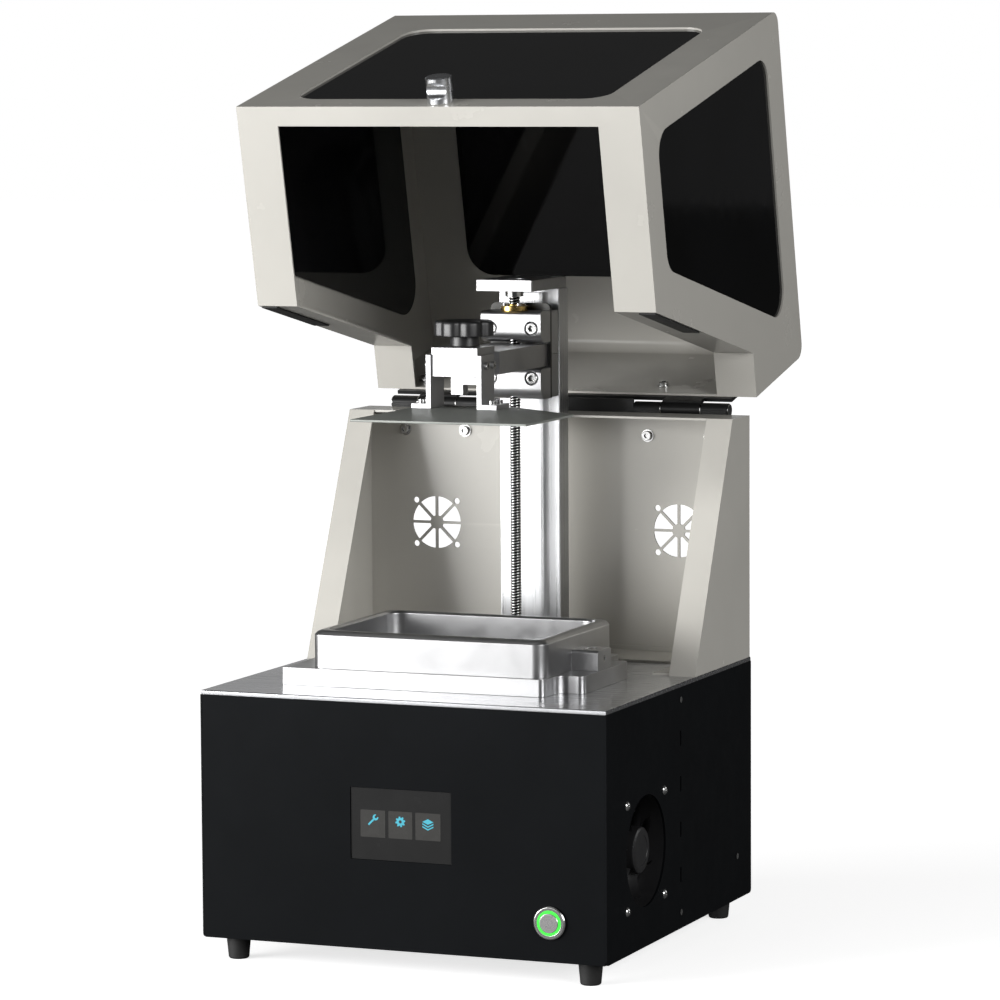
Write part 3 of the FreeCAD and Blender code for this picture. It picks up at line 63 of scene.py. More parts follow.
# ---- camera ---------------------------------------------------------------------------------
def make_camera():
    """A long lens at the front right, level with the open hood and looking slightly down."""
    turn_cos, turn_sin = math.cos(CAMERA_TURN), math.sin(CAMERA_TURN)
    dip_cos, dip_sin = math.cos(CAMERA_DIP), math.sin(CAMERA_DIP)
    right = Vector((turn_cos, turn_sin, 0))
    ahead = Vector((-turn_sin * dip_cos, turn_cos * dip_cos, -dip_sin))
    up = Vector((-turn_sin * dip_sin, turn_cos * dip_sin, dip_cos))
    across = right * math.cos(CAMERA_ROLL) - up * math.sin(CAMERA_ROLL)
    top = right * math.sin(CAMERA_ROLL) + up * math.cos(CAMERA_ROLL)
    data = bpy.data.cameras.new("camera")
    data.lens = CAMERA_LENS
    data.sensor_width = CAMERA_SENSOR
    data.clip_end = CAMERA_CLIP
    camera = bpy.data.objects.new("camera", data)
    place = Matrix((across, top, -ahead)).transposed().to_4x4()
    place.translation = CAMERA_PLACE
    camera.matrix_world = place
    bpy.context.scene.collection.objects.link(camera)
    bpy.context.scene.camera = camera


# ---- material tools -------------------------------------------------------------------------
class Shader:
    """A new material with a few shorthands for adding and linking nodes."""

    def __init__(self, name):
        self.mat = bpy.data.materials.new(name)
        self.mat.use_nodes = True
        self.tree = self.mat.node_tree
        self.bsdf = next(n for n in self.tree.nodes if n.type == "BSDF_PRINCIPLED")
        self.out = next(n for n in self.tree.nodes if n.type == "OUTPUT_MATERIAL")

    def add(self, kind, inputs=None, **props):
        node = self.tree.nodes.new(kind)
        for key, value in props.items():
            setattr(node, key, value)
        for key, value in (inputs or {}).items():
            if isinstance(value, bpy.types.NodeSocket):
                self.tree.links.new(value, node.inputs[key])
            else:
                node.inputs[key].default_value = value
        return node

    def link(self, source, target):
        self.tree.links.new(source, target)

    def set(self, **values):
        for key, value in values.items():
            self.bsdf.inputs[key.replace("_", " ")].default_value = value

    def space(self, stretch=(1, 1, 1)):
        coords = self.add("ShaderNodeTexCoord").outputs["Object"]
        return self.add("ShaderNodeMapping", {"Vector": coords, "Scale": stretch}).outputs[0]

    def vector_math(self, operation, one, two):
        return self.add("ShaderNodeVectorMath", {0: one, 1: two}, operation=operation).outputs[0]

    def length(self, vector):
        return self.add("ShaderNodeVectorMath", {0: vector}, operation="LENGTH").outputs["Value"]

    def from_point(self, centre):
        coords = self.add("ShaderNodeTexCoord").outputs["Object"]
        return self.vector_math("SUBTRACT", coords, centre)

    def noise(self, where, scale, detail=3.0, rough=0.55):
        return self.add("ShaderNodeTexNoise", {"Vector": where, "Scale": scale, "Detail": detail,
                                               "Roughness": rough}).outputs["Fac"]

    def spread(self, value, low, high, start=0.3, end=0.7):
        return self.add("ShaderNodeMapRange", {"Value": value, "From Min": start, "From Max": end,
                                               "To Min": low, "To Max": high}).outputs[0]

    def tint(self, value, dark, light):
        mix = self.add("ShaderNodeMix", data_type="RGBA")
        self.link(value, mix.inputs["Factor"])
        mix.inputs["A"].default_value = (*dark, 1)
        mix.inputs["B"].default_value = (*light, 1)
        return mix.outputs["Result"]

    def bump(self, value, strength, depth):
        node = self.add("ShaderNodeBump", {"Height": value, "Strength": strength, "Distance": depth})
        self.link(node.outputs[0], self.bsdf.inputs["Normal"])

    def color(self, source):
        self.link(source, self.bsdf.inputs["Base Color"])

    def gloss(self, source):
        self.link(source, self.bsdf.inputs["Roughness"])


def scaled(color, factor):
    return tuple(min(1.0, c * factor) for c in color)


def surface(name, color, rough, metal=0.0, vary=0.06, rough_vary=0.06, cloud=25, grain=1500,
            depth=0.00002, strength=0.3, edge_wear_and_highlight=0.0, **sockets):
    """A finish with cloudy colour, uneven gloss, fine grain, and edges painted a little lighter, as
    painted highlight and as wear.
    """
    s = Shader(name)
    where = s.space()
    clouds = s.spread(s.noise(where, cloud, 4), 0, 1)
    fine = s.noise(where, grain, 2)
    base = s.tint(clouds, scaled(color, 1 - vary), scaled(color, 1 + vary))
    # painted highlight: Pointiness lightens the edges as bevels catching light would, together with
    # some wear
    if edge_wear_and_highlight:
        edges = s.add("ShaderNodeNewGeometry").outputs["Pointiness"]
        mask = s.spread(edges, 0, edge_wear_and_highlight, 0.52, 0.62)
        edge_highlight = s.add("ShaderNodeMath", {0: mask, 1: clouds}, operation="MULTIPLY").outputs[0]
        mix = s.add("ShaderNodeMix", data_type="RGBA")
        s.link(edge_highlight, mix.inputs["Factor"])
        s.link(base, mix.inputs["A"])
        mix.inputs["B"].default_value = (*scaled(color, 1.8), 1)
        base = mix.outputs["Result"]
    s.color(base)
    smear = s.noise(where, cloud * 2.7, 5)
    s.gloss(s.spread(smear, rough - rough_vary, rough + rough_vary))
    s.bump(fine, strength, depth)
    s.set(Metallic=metal, **sockets)
    return s.mat


def brushed(name, color, rough, stretch, anisotropic, strength=0.35):
    """Bare metal with fine lines; stretch is small along the lines and large across them."""
    s = Shader(name)
    lines = s.noise(s.space(stretch), 1.0, 6, 0.7)
    clouds = s.noise(s.space(), 14, 3)
    shade = s.add("ShaderNodeMath", {0: lines, 1: clouds}, operation="ADD").outputs[0]
    s.color(s.tint(s.spread(shade, 0, 1, 0.7, 1.3), scaled(color, 0.86), scaled(color, 1.06)))
    s.gloss(s.spread(lines, rough - 0.07, rough + 0.1))
    s.bump(lines, strength, 0.00001)
    s.set(Metallic=1.0, Anisotropic=anisotropic)
    return s.mat


def turned(name, color, rough, centre, axis):
    """Bare metal with concentric turning marks round an axis through centre."""
    s = Shader(name)
    radius = s.length(s.vector_math("CROSS_PRODUCT", s.from_point(centre), axis))
    rings = s.add("ShaderNodeTexNoise", {"W": radius, "Scale": 5200.0, "Detail": 3.0},
                  noise_dimensions="1D").outputs["Fac"]
    s.color(s.tint(s.spread(rings, 0, 1), scaled(color, 0.82), scaled(color, 1.08)))
    s.gloss(s.spread(rings, rough - 0.06, rough + 0.08))
    s.bump(rings, 0.4, 0.00001)
    s.set(Metallic=1.0, Anisotropic=0.6)
    return s.mat


def tinted_pane(name):
    """Dark smoked acrylic: nearly black, glossy, with a little of what is behind it."""
    s = Shader(name)
    where = s.space()
    wave = s.noise(where, 9, 2)
    s.color(s.tint(s.spread(wave, 0, 1), (0.0030, 0.0030, 0.0030), (0.0050, 0.0050, 0.0055)))
    s.gloss(s.spread(s.noise(where, 60, 3), 0.03, 0.07))
    s.bump(wave, 0.12, 0.0006)
    s.set(IOR=1.45)
    clear = s.add("ShaderNodeBsdfTransparent", {"Color": (0.25, 0.25, 0.27, 1)})
    mix = s.add("ShaderNodeMixShader", {0: 0.06})
    s.link(s.bsdf.outputs[0], mix.inputs[1])
    s.link(clear.outputs[0], mix.inputs[2])
    s.link(mix.outputs[0], s.out.inputs["Surface"])
    return s.mat


def root_shaded_thread(name, color, rough, centre, root, crest):
    """Bright steel on a thread's crests, with shade painted dark into its roots."""
    s = Shader(name)
    radius = s.length(s.vector_math("MULTIPLY", s.from_point(centre), (1, 1, 0)))
    # painted shade: the colour darkens from the crest radius down to the root radius
    height = s.spread(radius, 0, 1, root, crest)
    s.color(s.tint(height, scaled(color, 0.02), color))
    smear = s.noise(s.space(), 900, 3)
    s.gloss(s.spread(smear, rough - 0.04, rough + 0.08))
    s.set(Metallic=1.0)
    return s.mat


def glow(name, color, power, base=(0.02, 0.02, 0.02)):
    """A lit surface whose brightness is a little uneven."""
    s = Shader(name)
    soft = s.noise(s.space(), 220, 2)
    s.link(s.tint(s.spread(soft, 0, 1), scaled(color, 0.85), scaled(color, 1.0)),
           s.bsdf.inputs["Emission Color"])
    s.color(s.tint(s.spread(soft, 0, 1), base, scaled(base, 1.2)))
    s.set(Emission_Strength=power, Roughness=0.3)
    return s.mat


# ---- mesh tools -----------------------------------------------------------------------------
SMOOTH_LIMIT = math.radians(32)    # edges sharper than this stay sharp
BEVEL_LIMIT = math.radians(35)     # edges sharper than this are rounded
FLAT_LIMIT = math.radians(0.6)     # faces closer to flat than this are joined before rounding
WELD_GAP = 0.000002                # points closer than this become one
# pieces with many holes, whose flat faces are left as they are
PIERCED = ("rear_shell", "hood_shell", "rear_panel", "right_panel", "deck_plate")


def smooth_group():
    """Geometry nodes that shade smooth except across sharp edges."""
    group = bpy.data.node_groups.new("smooth_by_angle", "GeometryNodeTree")
    group.interface.new_socket("Geometry", in_out="INPUT", socket_type="NodeSocketGeometry")
    group.interface.new_socket("Geometry", in_out="OUTPUT", socket_type="NodeSocketGeometry")
    start, end = group.nodes.new("NodeGroupInput"), group.nodes.new("NodeGroupOutput")
    angle = group.nodes.new("GeometryNodeInputMeshEdgeAngle")
    less = group.nodes.new("FunctionNodeCompare")
    less.operation = "LESS_EQUAL"
    less.inputs[1].default_value = SMOOTH_LIMIT
    faces = group.nodes.new("GeometryNodeSetShadeSmooth")
    edges = group.nodes.new("GeometryNodeSetShadeSmooth")
    edges.domain = "EDGE"
    link = group.links.new
    link(start.outputs[0], faces.inputs["Geometry"])
    link(faces.outputs[0], edges.inputs["Geometry"])
    link(angle.outputs["Unsigned Angle"], less.inputs[0])
    link(less.outputs[0], edges.inputs["Shade Smooth"])
    link(edges.outputs[0], end.inputs[0])
    return group


SMOOTH = smooth_group()


def soften(obj, width, merge=True):
    """Rounds an object's sharp edges and shades it smooth in between."""
    weld = obj.modifiers.new("weld", "WELD")
    weld.merge_threshold = WELD_GAP
    if width:
        if merge:
            flat = obj.modifiers.new("flat", "DECIMATE")
            flat.decimate_type = "DISSOLVE"
            flat.angle_limit = FLAT_LIMIT
        bevel = obj.modifiers.new("bevel", "BEVEL")
        bevel.width = width
        bevel.segments = 2
        bevel.limit_method = "ANGLE"
        bevel.angle_limit = BEVEL_LIMIT
        bevel.use_clamp_overlap = True
        bevel.miter_outer = "MITER_ARC"
    nodes = obj.modifiers.new("smooth", "NODES")
    nodes.node_group = SMOOTH
    weight = obj.modifiers.new("weight", "WEIGHTED_NORMAL")
    weight.keep_sharp = True
    weight.weight = 80


def coat(node, mat, width):
    """Gives a CAD piece its finish and softened edges."""
    obj = NODES[node]
    obj.data.materials.clear()
    obj.data.materials.append(mat)
    soften(obj, width, merge=node not in PIERCED)


def piece(name, bm, mat, body, replaced=(), smooth=True):
    """Makes a mesh an object that rides on a body, in place of the CAD nodes it replaces."""
    mesh = bpy.data.meshes.new(name)
    bm.normal_update()
    bm.to_mesh(mesh)
    bm.free()
    obj = bpy.data.objects.new(name, mesh)
    bpy.context.scene.collection.objects.link(obj)
    mesh.materials.append(mat)
    for polygon in mesh.polygons:
        polygon.use_smooth = smooth
    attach(obj, body)
    if replaced:
        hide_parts(*replaced)
    return obj


def circle(at, radius, count):
    """Points on a circle; at gives a point from the offsets along the circle's two axes."""
    angles = [2 * math.pi * k / count for k in range(count)]
    return [at(radius * math.cos(a), radius * math.sin(a)) for a in angles]


def skin_rows(bm, rows):
    """Skins rows of points, each row a closed ring, into a body that is closed at both ends."""
    rings = [[bm.verts.new(p) for p in row] for row in rows]
    count = len(rings[0])
    for lower, upper in zip(rings, rings[1:]):
        for i in range(count):
            j = (i + 1) % count
            bm.faces.new((lower[i], lower[j], upper[j], upper[i]))
    bm.faces.new(list(reversed(rings[0])))
    bm.faces.new(rings[-1])


# ---- finishes -------------------------------------------------------------------------------
THREAD_SHADE_FULL, THREAD_SHADE_END = 0.00335, 0.0039     # radii where the painted shade in the thread's roots is darkest and where it ends

# the edge amounts below paint each finish's edges lighter, as painted highlight and as wear
PAINT = surface("warm_grey_paint", (0.52, 0.505, 0.465), 0.25, vary=0.015, rough_vary=0.03, cloud=9,
                grain=1100, depth=0.00004, strength=0.08, edge_wear_and_highlight=0.15, Specular_IOR_Level=0.5)
CASE = surface("black_powder_coat", (0.0048, 0.0054, 0.0062), 0.50, vary=0.08, rough_vary=0.05,
               cloud=18, grain=2600, depth=0.00003, strength=0.30, edge_wear_and_highlight=0.25,
               Specular_IOR_Level=0.04)
FRAME_BLACK = surface("black_steel", (0.02, 0.02, 0.02), 0.5, vary=0.15, cloud=30, edge_wear_and_highlight=0.2)
DECK = brushed("brushed_deck", (0.54, 0.545, 0.56), 0.22, (3, 900, 900), anisotropic=0.15,
               strength=0.12)
BLASTED = surface("blasted_aluminium", (0.44, 0.44, 0.445), 0.34, metal=1.0, vary=0.04, cloud=22,
                  grain=3200, depth=0.00003, strength=0.30, edge_wear_and_highlight=0.3)
EXTRUDED = brushed("extruded_aluminium", (0.62, 0.625, 0.635), 0.30, (1100, 1100, 4), anisotropic=0.1,
                   strength=0.2)
PLATE = surface("grey_anodised_plate", (0.22, 0.23, 0.215), 0.38, metal=0.25, vary=0.05, cloud=16,
                grain=2400, depth=0.00001, strength=0.2, edge_wear_and_highlight=0.9, Specular_IOR_Level=0.3)
BLACKENED = surface("black_anodised", (0.050, 0.050, 0.048), 0.36, metal=0.9, vary=0.08, cloud=40,
                    grain=2600, depth=0.00002, strength=0.3, edge_wear_and_highlight=0.3)
STEEL = surface("plated_steel", (0.55, 0.55, 0.545), 0.20, metal=1.0, vary=0.05, cloud=60, grain=2600,
                depth=0.00001, strength=0.2)
THREAD = root_shaded_thread("screw_steel", (0.62, 0.62, 0.62), 0.16, SCREW_AXIS, THREAD_SHADE_FULL,
                       THREAD_SHADE_END)
BRASS = surface("brass", (0.66, 0.46, 0.16), 0.24, metal=1.0, vary=0.07, cloud=80, grain=2400,
                edge_wear_and_highlight=0.4)
RUBBER = surface("black_rubber", (0.012, 0.012, 0.012), 0.68, vary=0.2, cloud=60, grain=1800,
                 depth=0.00006, strength=0.4)
PLASTIC = surface("black_plastic", (0.015, 0.015, 0.016), 0.38, vary=0.12, cloud=40, grain=2100,
                  depth=0.00004, strength=0.3, edge_wear_and_highlight=0.3)
HINGE_BLACK = surface("black_hinge", (0.008, 0.008, 0.008), 0.42, vary=0.15, cloud=50, grain=1700,
                      edge_wear_and_highlight=0.4, Specular_IOR_Level=0.3)
BOARD = surface("green_laminate", (0.01, 0.10, 0.045), 0.35, vary=0.15, cloud=90, grain=1200)
SHEET_METAL = brushed("plated_sheet", (0.62, 0.63, 0.63), 0.34, (500, 20, 500), anisotropic=0.2)
FILM = surface("clear_film", (0.60, 0.62, 0.64), 0.10, vary=0.05, cloud=25, grain=300, strength=0.1,
               depth=0.0001, Transmission_Weight=0.55)
SCREEN = surface("dark_screen", (0.006, 0.006, 0.008), 0.08, vary=0.1, cloud=12, grain=4000,
                 strength=0.05)
DISPLAY = surface("display_grey", (0.022, 0.022, 0.022), 0.24, vary=0.05, cloud=20, grain=5200,
                  depth=0.00001, strength=0.1, Specular_IOR_Level=0.06)
TILE = surface("tile_grey", (0.052, 0.051, 0.049), 0.26, vary=0.04, cloud=60, grain=5200,
               depth=0.00001, strength=0.1, Specular_IOR_Level=0.06)
ICON = glow("icon_cyan", (0.05, 0.55, 0.72), 1.0)
RING = glow("ring_green", (0.02, 0.80, 0.03), 1.3, (0.05, 0.3, 0.05))
PANE = tinted_pane("smoked_acrylic")
CAP_FACE = turned("turned_button", (0.70, 0.69, 0.69), 0.28, BUTTON_AXIS, (0, 1, 0))
COLLAR = turned("turned_collar", (0.66, 0.66, 0.65), 0.22, BUTTON_AXIS, (0, 1, 0))
PULL = surface("satin_pull", (0.72, 0.73, 0.75), 0.26, metal=1.0, vary=0.05, cloud=40, grain=2600,
               depth=0.00001, strength=0.25)

# each CAD piece's finish, and the width in metres of its rounded edges
FINISH = {
    "case_frame": (FRAME_BLACK, 0.0002), "rubber_feet": (RUBBER, 0.0004),
    "case_screws": (STEEL, 0.0001),
    "front_panel": (CASE, 0.0003), "right_panel": (CASE, 0.0003), "left_panel": (CASE, 0.0003),
    "panel_screws": (STEEL, 0.0001), "rear_panel": (CASE, 0.0003), "deck_plate": (DECK, 0.0002),
    "display_glass": (DISPLAY, 0.0001), "display_module": (BOARD, 0), "button_bezel": (COLLAR, 0.0002),
    "button_light": (RING, 0.0001), "button_cap": (CAP_FACE, 0.0001), "fan_frame": (PLASTIC, 0.0003),
    "lamp_heat_sink": (SHEET_METAL, 0), "lamp_brackets": (FRAME_BLACK, 0), "led_board": (BOARD, 0),
    "light_funnel": (SHEET_METAL, 0), "power_supply": (SHEET_METAL, 0), "control_board": (BOARD, 0),
    "power_inlet": (PLASTIC, 0.0002), "usb_port": (STEEL, 0.0001), "vat_frame": (BLASTED, 0.0003),
    "masking_screen": (SCREEN, 0.0001), "vat_body": (BLASTED, 0.0004), "vat_film": (FILM, 0),
    "vat_screws": (STEEL, 0.0001), "column": (EXTRUDED, 0.0003), "column_screws": (STEEL, 0.0001),
    "linear_rail": (EXTRUDED, 0.0002), "end_plate": (BLASTED, 0.0003), "top_bearing": (STEEL, 0.0002),
    "z_motor": (FRAME_BLACK, 0), "clamp_bars": (BLASTED, 0.0003),
    "carriage_plate": (BLACKENED, 0.0003), "carriage_screws": (STEEL, 0.0001),
    "guide_blocks": (BLASTED, 0.0003), "drive_nut": (BRASS, 0.0002), "platform_arm": (BLASTED, 0.0003),
    "build_plate": (PLATE, 0.0003), "clamp_block": (BLASTED, 0.0003),
    "plate_brackets": (BLASTED, 0.0002), "bracket_screws": (STEEL, 0.0001),
    "rear_shell": (PAINT, 0.0004), "shell_hinge_screws": (STEEL, 0.0001),
    "fixed_strip": (HINGE_BLACK, 0.0003), "hinge_pins": (STEEL, 0.0001),
    "hood_shell": (PAINT, 0.0007), "hood_front_window": (PANE, 0.0002),
    "hood_top_window": (PANE, 0.0002), "hood_side_windows": (PANE, 0.0002),
    "hood_seals": (RUBBER, 0.0002), "hood_knob": (PULL, 0.0003), "hood_screws": (STEEL, 0.0001),
    "hood_strip": (HINGE_BLACK, 0.0003),
}


# ---- pieces made here -----------------------------------------------------------------------
HUB_R = 0.0160
BLADE_ROOT, BLADE_TIP = HUB_R - 0.0006, 0.0360      # the blades start a little inside the hub
BLADE_ANGLE, BLADE_TWIST = 52, 24                   # degrees, at the hub and lost towards the tip
BLADE_SWEEP = 0.30                                  # radians at the tip
BLADE_CHORD, BLADE_CAMBER, BLADE_THICK = 0.0168, 0.0022, 0.0011
BLADE_BACK_GAP, BLADE_FRONT_GAP = 0.0002, 0.0006    # kept free at the ends of the rotor's box


def lead_screw():
    """A trapezoidal two-start thread, cut by moving the profile round with the height."""
    low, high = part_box("lead_screw")
    crest_r, root_r, pitch, lead = 0.0040, 0.00325, 0.002, 0.004
    crest_reach, flank_slope = 2.6, 8.0
    around, step = 24, 0.00025
    count = int((high.z - low.z) / step)
    rows = []
    for i in range(count + 1):
        z = low.z + (high.z - low.z) * i / count
        row = []
        for k in range(around):
            a = 2 * math.pi * k / around
            phase = ((z - lead * k / around) / pitch) % 1.0
            crest = min(1.0, max(0.0, crest_reach - abs(phase - 0.5) * flank_slope))
            r = root_r if i in (0, count) else root_r + (crest_r - root_r) * crest
            row.append(Vector((SCREW_AXIS.x + r * math.cos(a), SCREW_AXIS.y + r * math.sin(a), z)))
        rows.append(row)
    bm = bmesh.new()
    skin_rows(bm, rows)
    piece("threaded_screw", bm, THREAD, "drive_screw", ("lead_screw",))


def lobed_ring(radius, lobe, z):
    """One level of the knob: broad lobes with narrow scoops between them."""
    around, lobes, sharpness = 168, 7, 2.4
    row = []
    for k in range(around):
        a = 2 * math.pi * k / around
        wave = 0.5 + 0.5 * math.cos(lobes * a)
        r = radius + lobe * (1 - (1 - wave) ** sharpness)
        row.append(Vector((KNOB_AXIS.x + r * math.cos(a), KNOB_AXIS.y + r * math.sin(a), z)))
    return row


def star_knob():
    """A moulded hand knob: seven rounded lobes, a dished top with a cap, and a tapered neck."""
    foot, bottom, top = 0.4173, 0.4242, 0.4349
    neck_r, grip_r, dish_r, cap_r = 0.0103, 0.0179, 0.0108, 0.0097
    deep = 0.0028
    # radius, depth of the lobes and height of each level, from the foot of the neck to the cap
    levels = [
        (neck_r - 0.0002, 0.0, foot), (neck_r, 0.0, foot + 0.0003),
        (neck_r - 0.0004, 0.0, foot + 0.0063),
        (grip_r - 0.0029, 0.0010, bottom), (grip_r - 0.0007, deep - 0.0001, bottom + 0.0001),
        (grip_r - 0.0002, deep, bottom + 0.0004), (grip_r, deep, bottom + 0.0010),
        (grip_r, deep, top - 0.0024), (grip_r - 0.0002, deep, top - 0.0013),
        (grip_r - 0.0007, deep - 0.0001, top - 0.0005), (grip_r - 0.0015, deep - 0.0004, top - 0.0001),
        (grip_r - 0.0029, 0.0015, top), (dish_r + 0.0010, 0.0, top - 0.0002),
        (dish_r, 0.0, top - 0.0008), (dish_r - 0.0008, 0.0, top - 0.0010), (cap_r, 0.0, top - 0.0004),
        (cap_r - 0.0007, 0.0, top - 0.0001), (cap_r - 0.0047, 0.0, top + 0.0001)]
    bm = bmesh.new()
    skin_rows(bm, [lobed_ring(*level) for level in levels])
    knob = piece("lobed_knob", bm, PLASTIC, "clamp_knob")
    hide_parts("star_knob")
    soften(knob, 0)
    stud_low, stud_high, stud_rows, stud_crest, stud_root = 0.4083, 0.4180, 60, 0.0039, 0.0035
    rows = []
    for i in range(stud_rows):
        z = stud_low + (stud_high - stud_low) * i / (stud_rows - 1)
        r = stud_crest if i % 4 < 2 else stud_root
        rows.append(circle(lambda u, v: Vector((KNOB_AXIS.x + u, KNOB_AXIS.y + v, z)), r, 24))
    stud = bmesh.new()
    skin_rows(stud, rows)
    piece("knob_stud", stud, STEEL, "clamp_knob")


def blade_point(low, high, turn, side, t, c):
    """A point of a blade: t runs from hub to tip, c across from -0.5 to 0.5, side is 0 or 1."""
    r = BLADE_ROOT + (BLADE_TIP - BLADE_ROOT) * t
    pitch = math.radians(BLADE_ANGLE - BLADE_TWIST * t)
    sweep = BLADE_SWEEP * t * t
    chord = BLADE_CHORD * (0.90 + 0.30 * t)
    camber = BLADE_CAMBER * (0.25 - c * c) * 4
    thick = BLADE_THICK * (1 - (2 * c) ** 4) * (1 - 0.4 * t) * (0.5 - side)
    along, off = c * chord, camber + thick
    x = (low.x + high.x) / 2 + along * math.sin(pitch) - off * math.cos(pitch)
    x = max(low.x + BLADE_BACK_GAP, min(high.x - BLADE_FRONT_GAP, x))
    a = turn + sweep + (along * math.cos(pitch) + off * math.sin(pitch)) / r
    return Vector((x, FAN_AXIS.y + r * math.cos(a), FAN_AXIS.z + r * math.sin(a)))


def impeller():
    """Seven twisted, swept blades round a domed hub, which spin in the side fan's frame."""
    low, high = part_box("fan_rotor")
    face = high.x
    hub = [(HUB_R - 0.0005, low.x), (HUB_R, low.x + 0.0004), (HUB_R, face - 0.0022),
           (HUB_R - 0.0004, face - 0.0010), (HUB_R - 0.0013, face - 0.0003), (HUB_R - 0.0030, face),
           (HUB_R - 0.0056, face), (HUB_R - 0.0058, face - 0.0003), (HUB_R - 0.0120, face - 0.0004)]
    bm = bmesh.new()
    skin_rows(bm, [circle(lambda u, v: Vector((x, FAN_AXIS.y + u, FAN_AXIS.z + v)), r, 64)
                   for r, x in hub])
    blades, spans, chords = 7, 10, 10
    for blade in range(blades):
        turn = 2 * math.pi * blade / blades
        sheets = []
        for side in (0, 1):
            grid = [[bm.verts.new(blade_point(low, high, turn, side, i / spans, j / chords - 0.5))
                     for j in range(chords + 1)] for i in range(spans + 1)]
            sheets.append(grid)
            for i in range(spans):
                for j in range(chords):
                    quad = [grid[i][j], grid[i + 1][j], grid[i + 1][j + 1], grid[i][j + 1]]
                    bm.faces.new(quad if side else list(reversed(quad)))
        one, two = sheets
        for i in range(spans):
            bm.faces.new((one[i][0], one[i + 1][0], two[i + 1][0], two[i][0]))
            bm.faces.new((one[i + 1][chords], one[i][chords], two[i][chords], two[i + 1][chords]))
        for j in range(chords):
            bm.faces.new((one[spans][j], one[spans][j + 1], two[spans][j + 1], two[spans][j]))
    bmesh.ops.recalc_face_normals(bm, faces=bm.faces)
    soften(piece("bladed_rotor", bm, PLASTIC, "side_fan", ("fan_rotor",)), 0)


def flat_shape(bm, loop, y_front, y_back):
    """A thin prism facing -Y from a loop of (x, z) points."""
    front = [bm.verts.new((x, y_front, z)) for x, z in loop]
    back = [bm.verts.new((x, y_back, z)) for x, z in loop]
    bm.faces.new(front)
    bm.faces.new(list(reversed(back)))
    for i in range(len(loop)):
        j = (i + 1) % len(loop)
        bm.faces.new((front[j], front[i], back[i], back[j]))


def rounded_rect(x0, x1, z0, z1, r, steps=5):
    """The (x, z) points of a rectangle with round corners."""
    corners = ((x1 - r, z1 - r, 0), (x0 + r, z1 - r, 90), (x0 + r, z0 + r, 180), (x1 - r, z0 + r, 270))
    loop = []
    for cx, cz, start in corners:
        for i in range(steps + 1):
            a = math.radians(start + 90 * i / steps)
            loop.append((cx + r * math.cos(a), cz + r * math.sin(a)))
    return loop


def arc(cx, cz, r, start, sweep, count):
    """The (x, z) points of an arc, both ends included; angles in degrees."""
    angles = [math.radians(start + sweep * k / (count - 1)) for k in range(count)]
    return [(cx + r * math.cos(a), cz + r * math.sin(a)) for a in angles]


def gear_faces(bm, cx, cz, y_front, y_back, outer, inner, hole, teeth):
    """A gear with a round hole, as a ring of quads."""
    steps = teeth * 8
    rings = []
    for y in (y_front, y_back):
        rim, core = [], []
        for k in range(steps):
            a = 2 * math.pi * (k + 0.5) / steps
            r = outer if (k // 4) % 2 == 0 else inner
            rim.append(bm.verts.new((cx + r * math.cos(a), y, cz + r * math.sin(a))))
            core.append(bm.verts.new((cx + hole * math.cos(a), y, cz + hole * math.sin(a))))
        rings.append((rim, core))
    (rim, core), (rim_b, core_b) = rings
    for k in range(steps):
        j = (k + 1) % steps
        bm.faces.new((rim[k], rim[j], core[j], core[k]))
        bm.faces.new((rim_b[j], rim_b[k], core_b[k], core_b[j]))
        bm.faces.new((rim[j], rim[k], rim_b[k], rim_b[j]))
        bm.faces.new((core[k], core[j], core_b[j], core_b[k]))


def spanner_icon(bm, cx, cz, y0, y1):
    """An open-ended spanner that leans at 45 degrees, as a shaft and a jaw."""
    slant = 45
    shift, half, tail, neck = -0.0003, 0.0006, -0.0041, 0.0014
    jaw_at, jaw_r, throat_at, throat_r = 0.0020, 0.00205, 0.0023, 0.00095
    lean_cos, lean_sin = math.cos(math.radians(slant)), math.sin(math.radians(slant))
    shaft = []
    for u, v in ((neck, -half), (neck, half), (tail, half), (tail, -half)):
        shaft.append((cx + shift + u * lean_cos - v * lean_sin,
                      cz + shift + u * lean_sin + v * lean_cos))
    flat_shape(bm, shaft, y0, y1)
    jaw = arc(cx + jaw_at, cz + jaw_at, jaw_r, slant + 38, 284, 27)
    throat = arc(cx + throat_at, cz + throat_at, throat_r, slant - 50, -260, 13)
    flat_shape(bm, jaw + throat, y0, y1)


def layers_icon(bm, cx, cz, y0, y1):
    """A stack of layers: a whole diamond with two chevrons under it."""
    half_w, mid, low, high = 0.0040, cz + 0.0010, cz - 0.0008, cz + 0.0030
    flat_shape(bm, [(cx - half_w, mid), (cx, low), (cx + half_w, mid), (cx, high)], y0, y1)
    thick, dip = 0.0009, 0.0020
    for drop in (0.0009, 0.0028):
        top = mid - drop
        flat_shape(bm, [(cx - half_w, top), (cx - half_w, top - thick), (cx, top - thick - dip),
                        (cx, top - dip)], y0, y1)
        flat_shape(bm, [(cx, top - dip), (cx, top - thick - dip), (cx + half_w, top - thick),
                        (cx + half_w, top)], y0, y1)


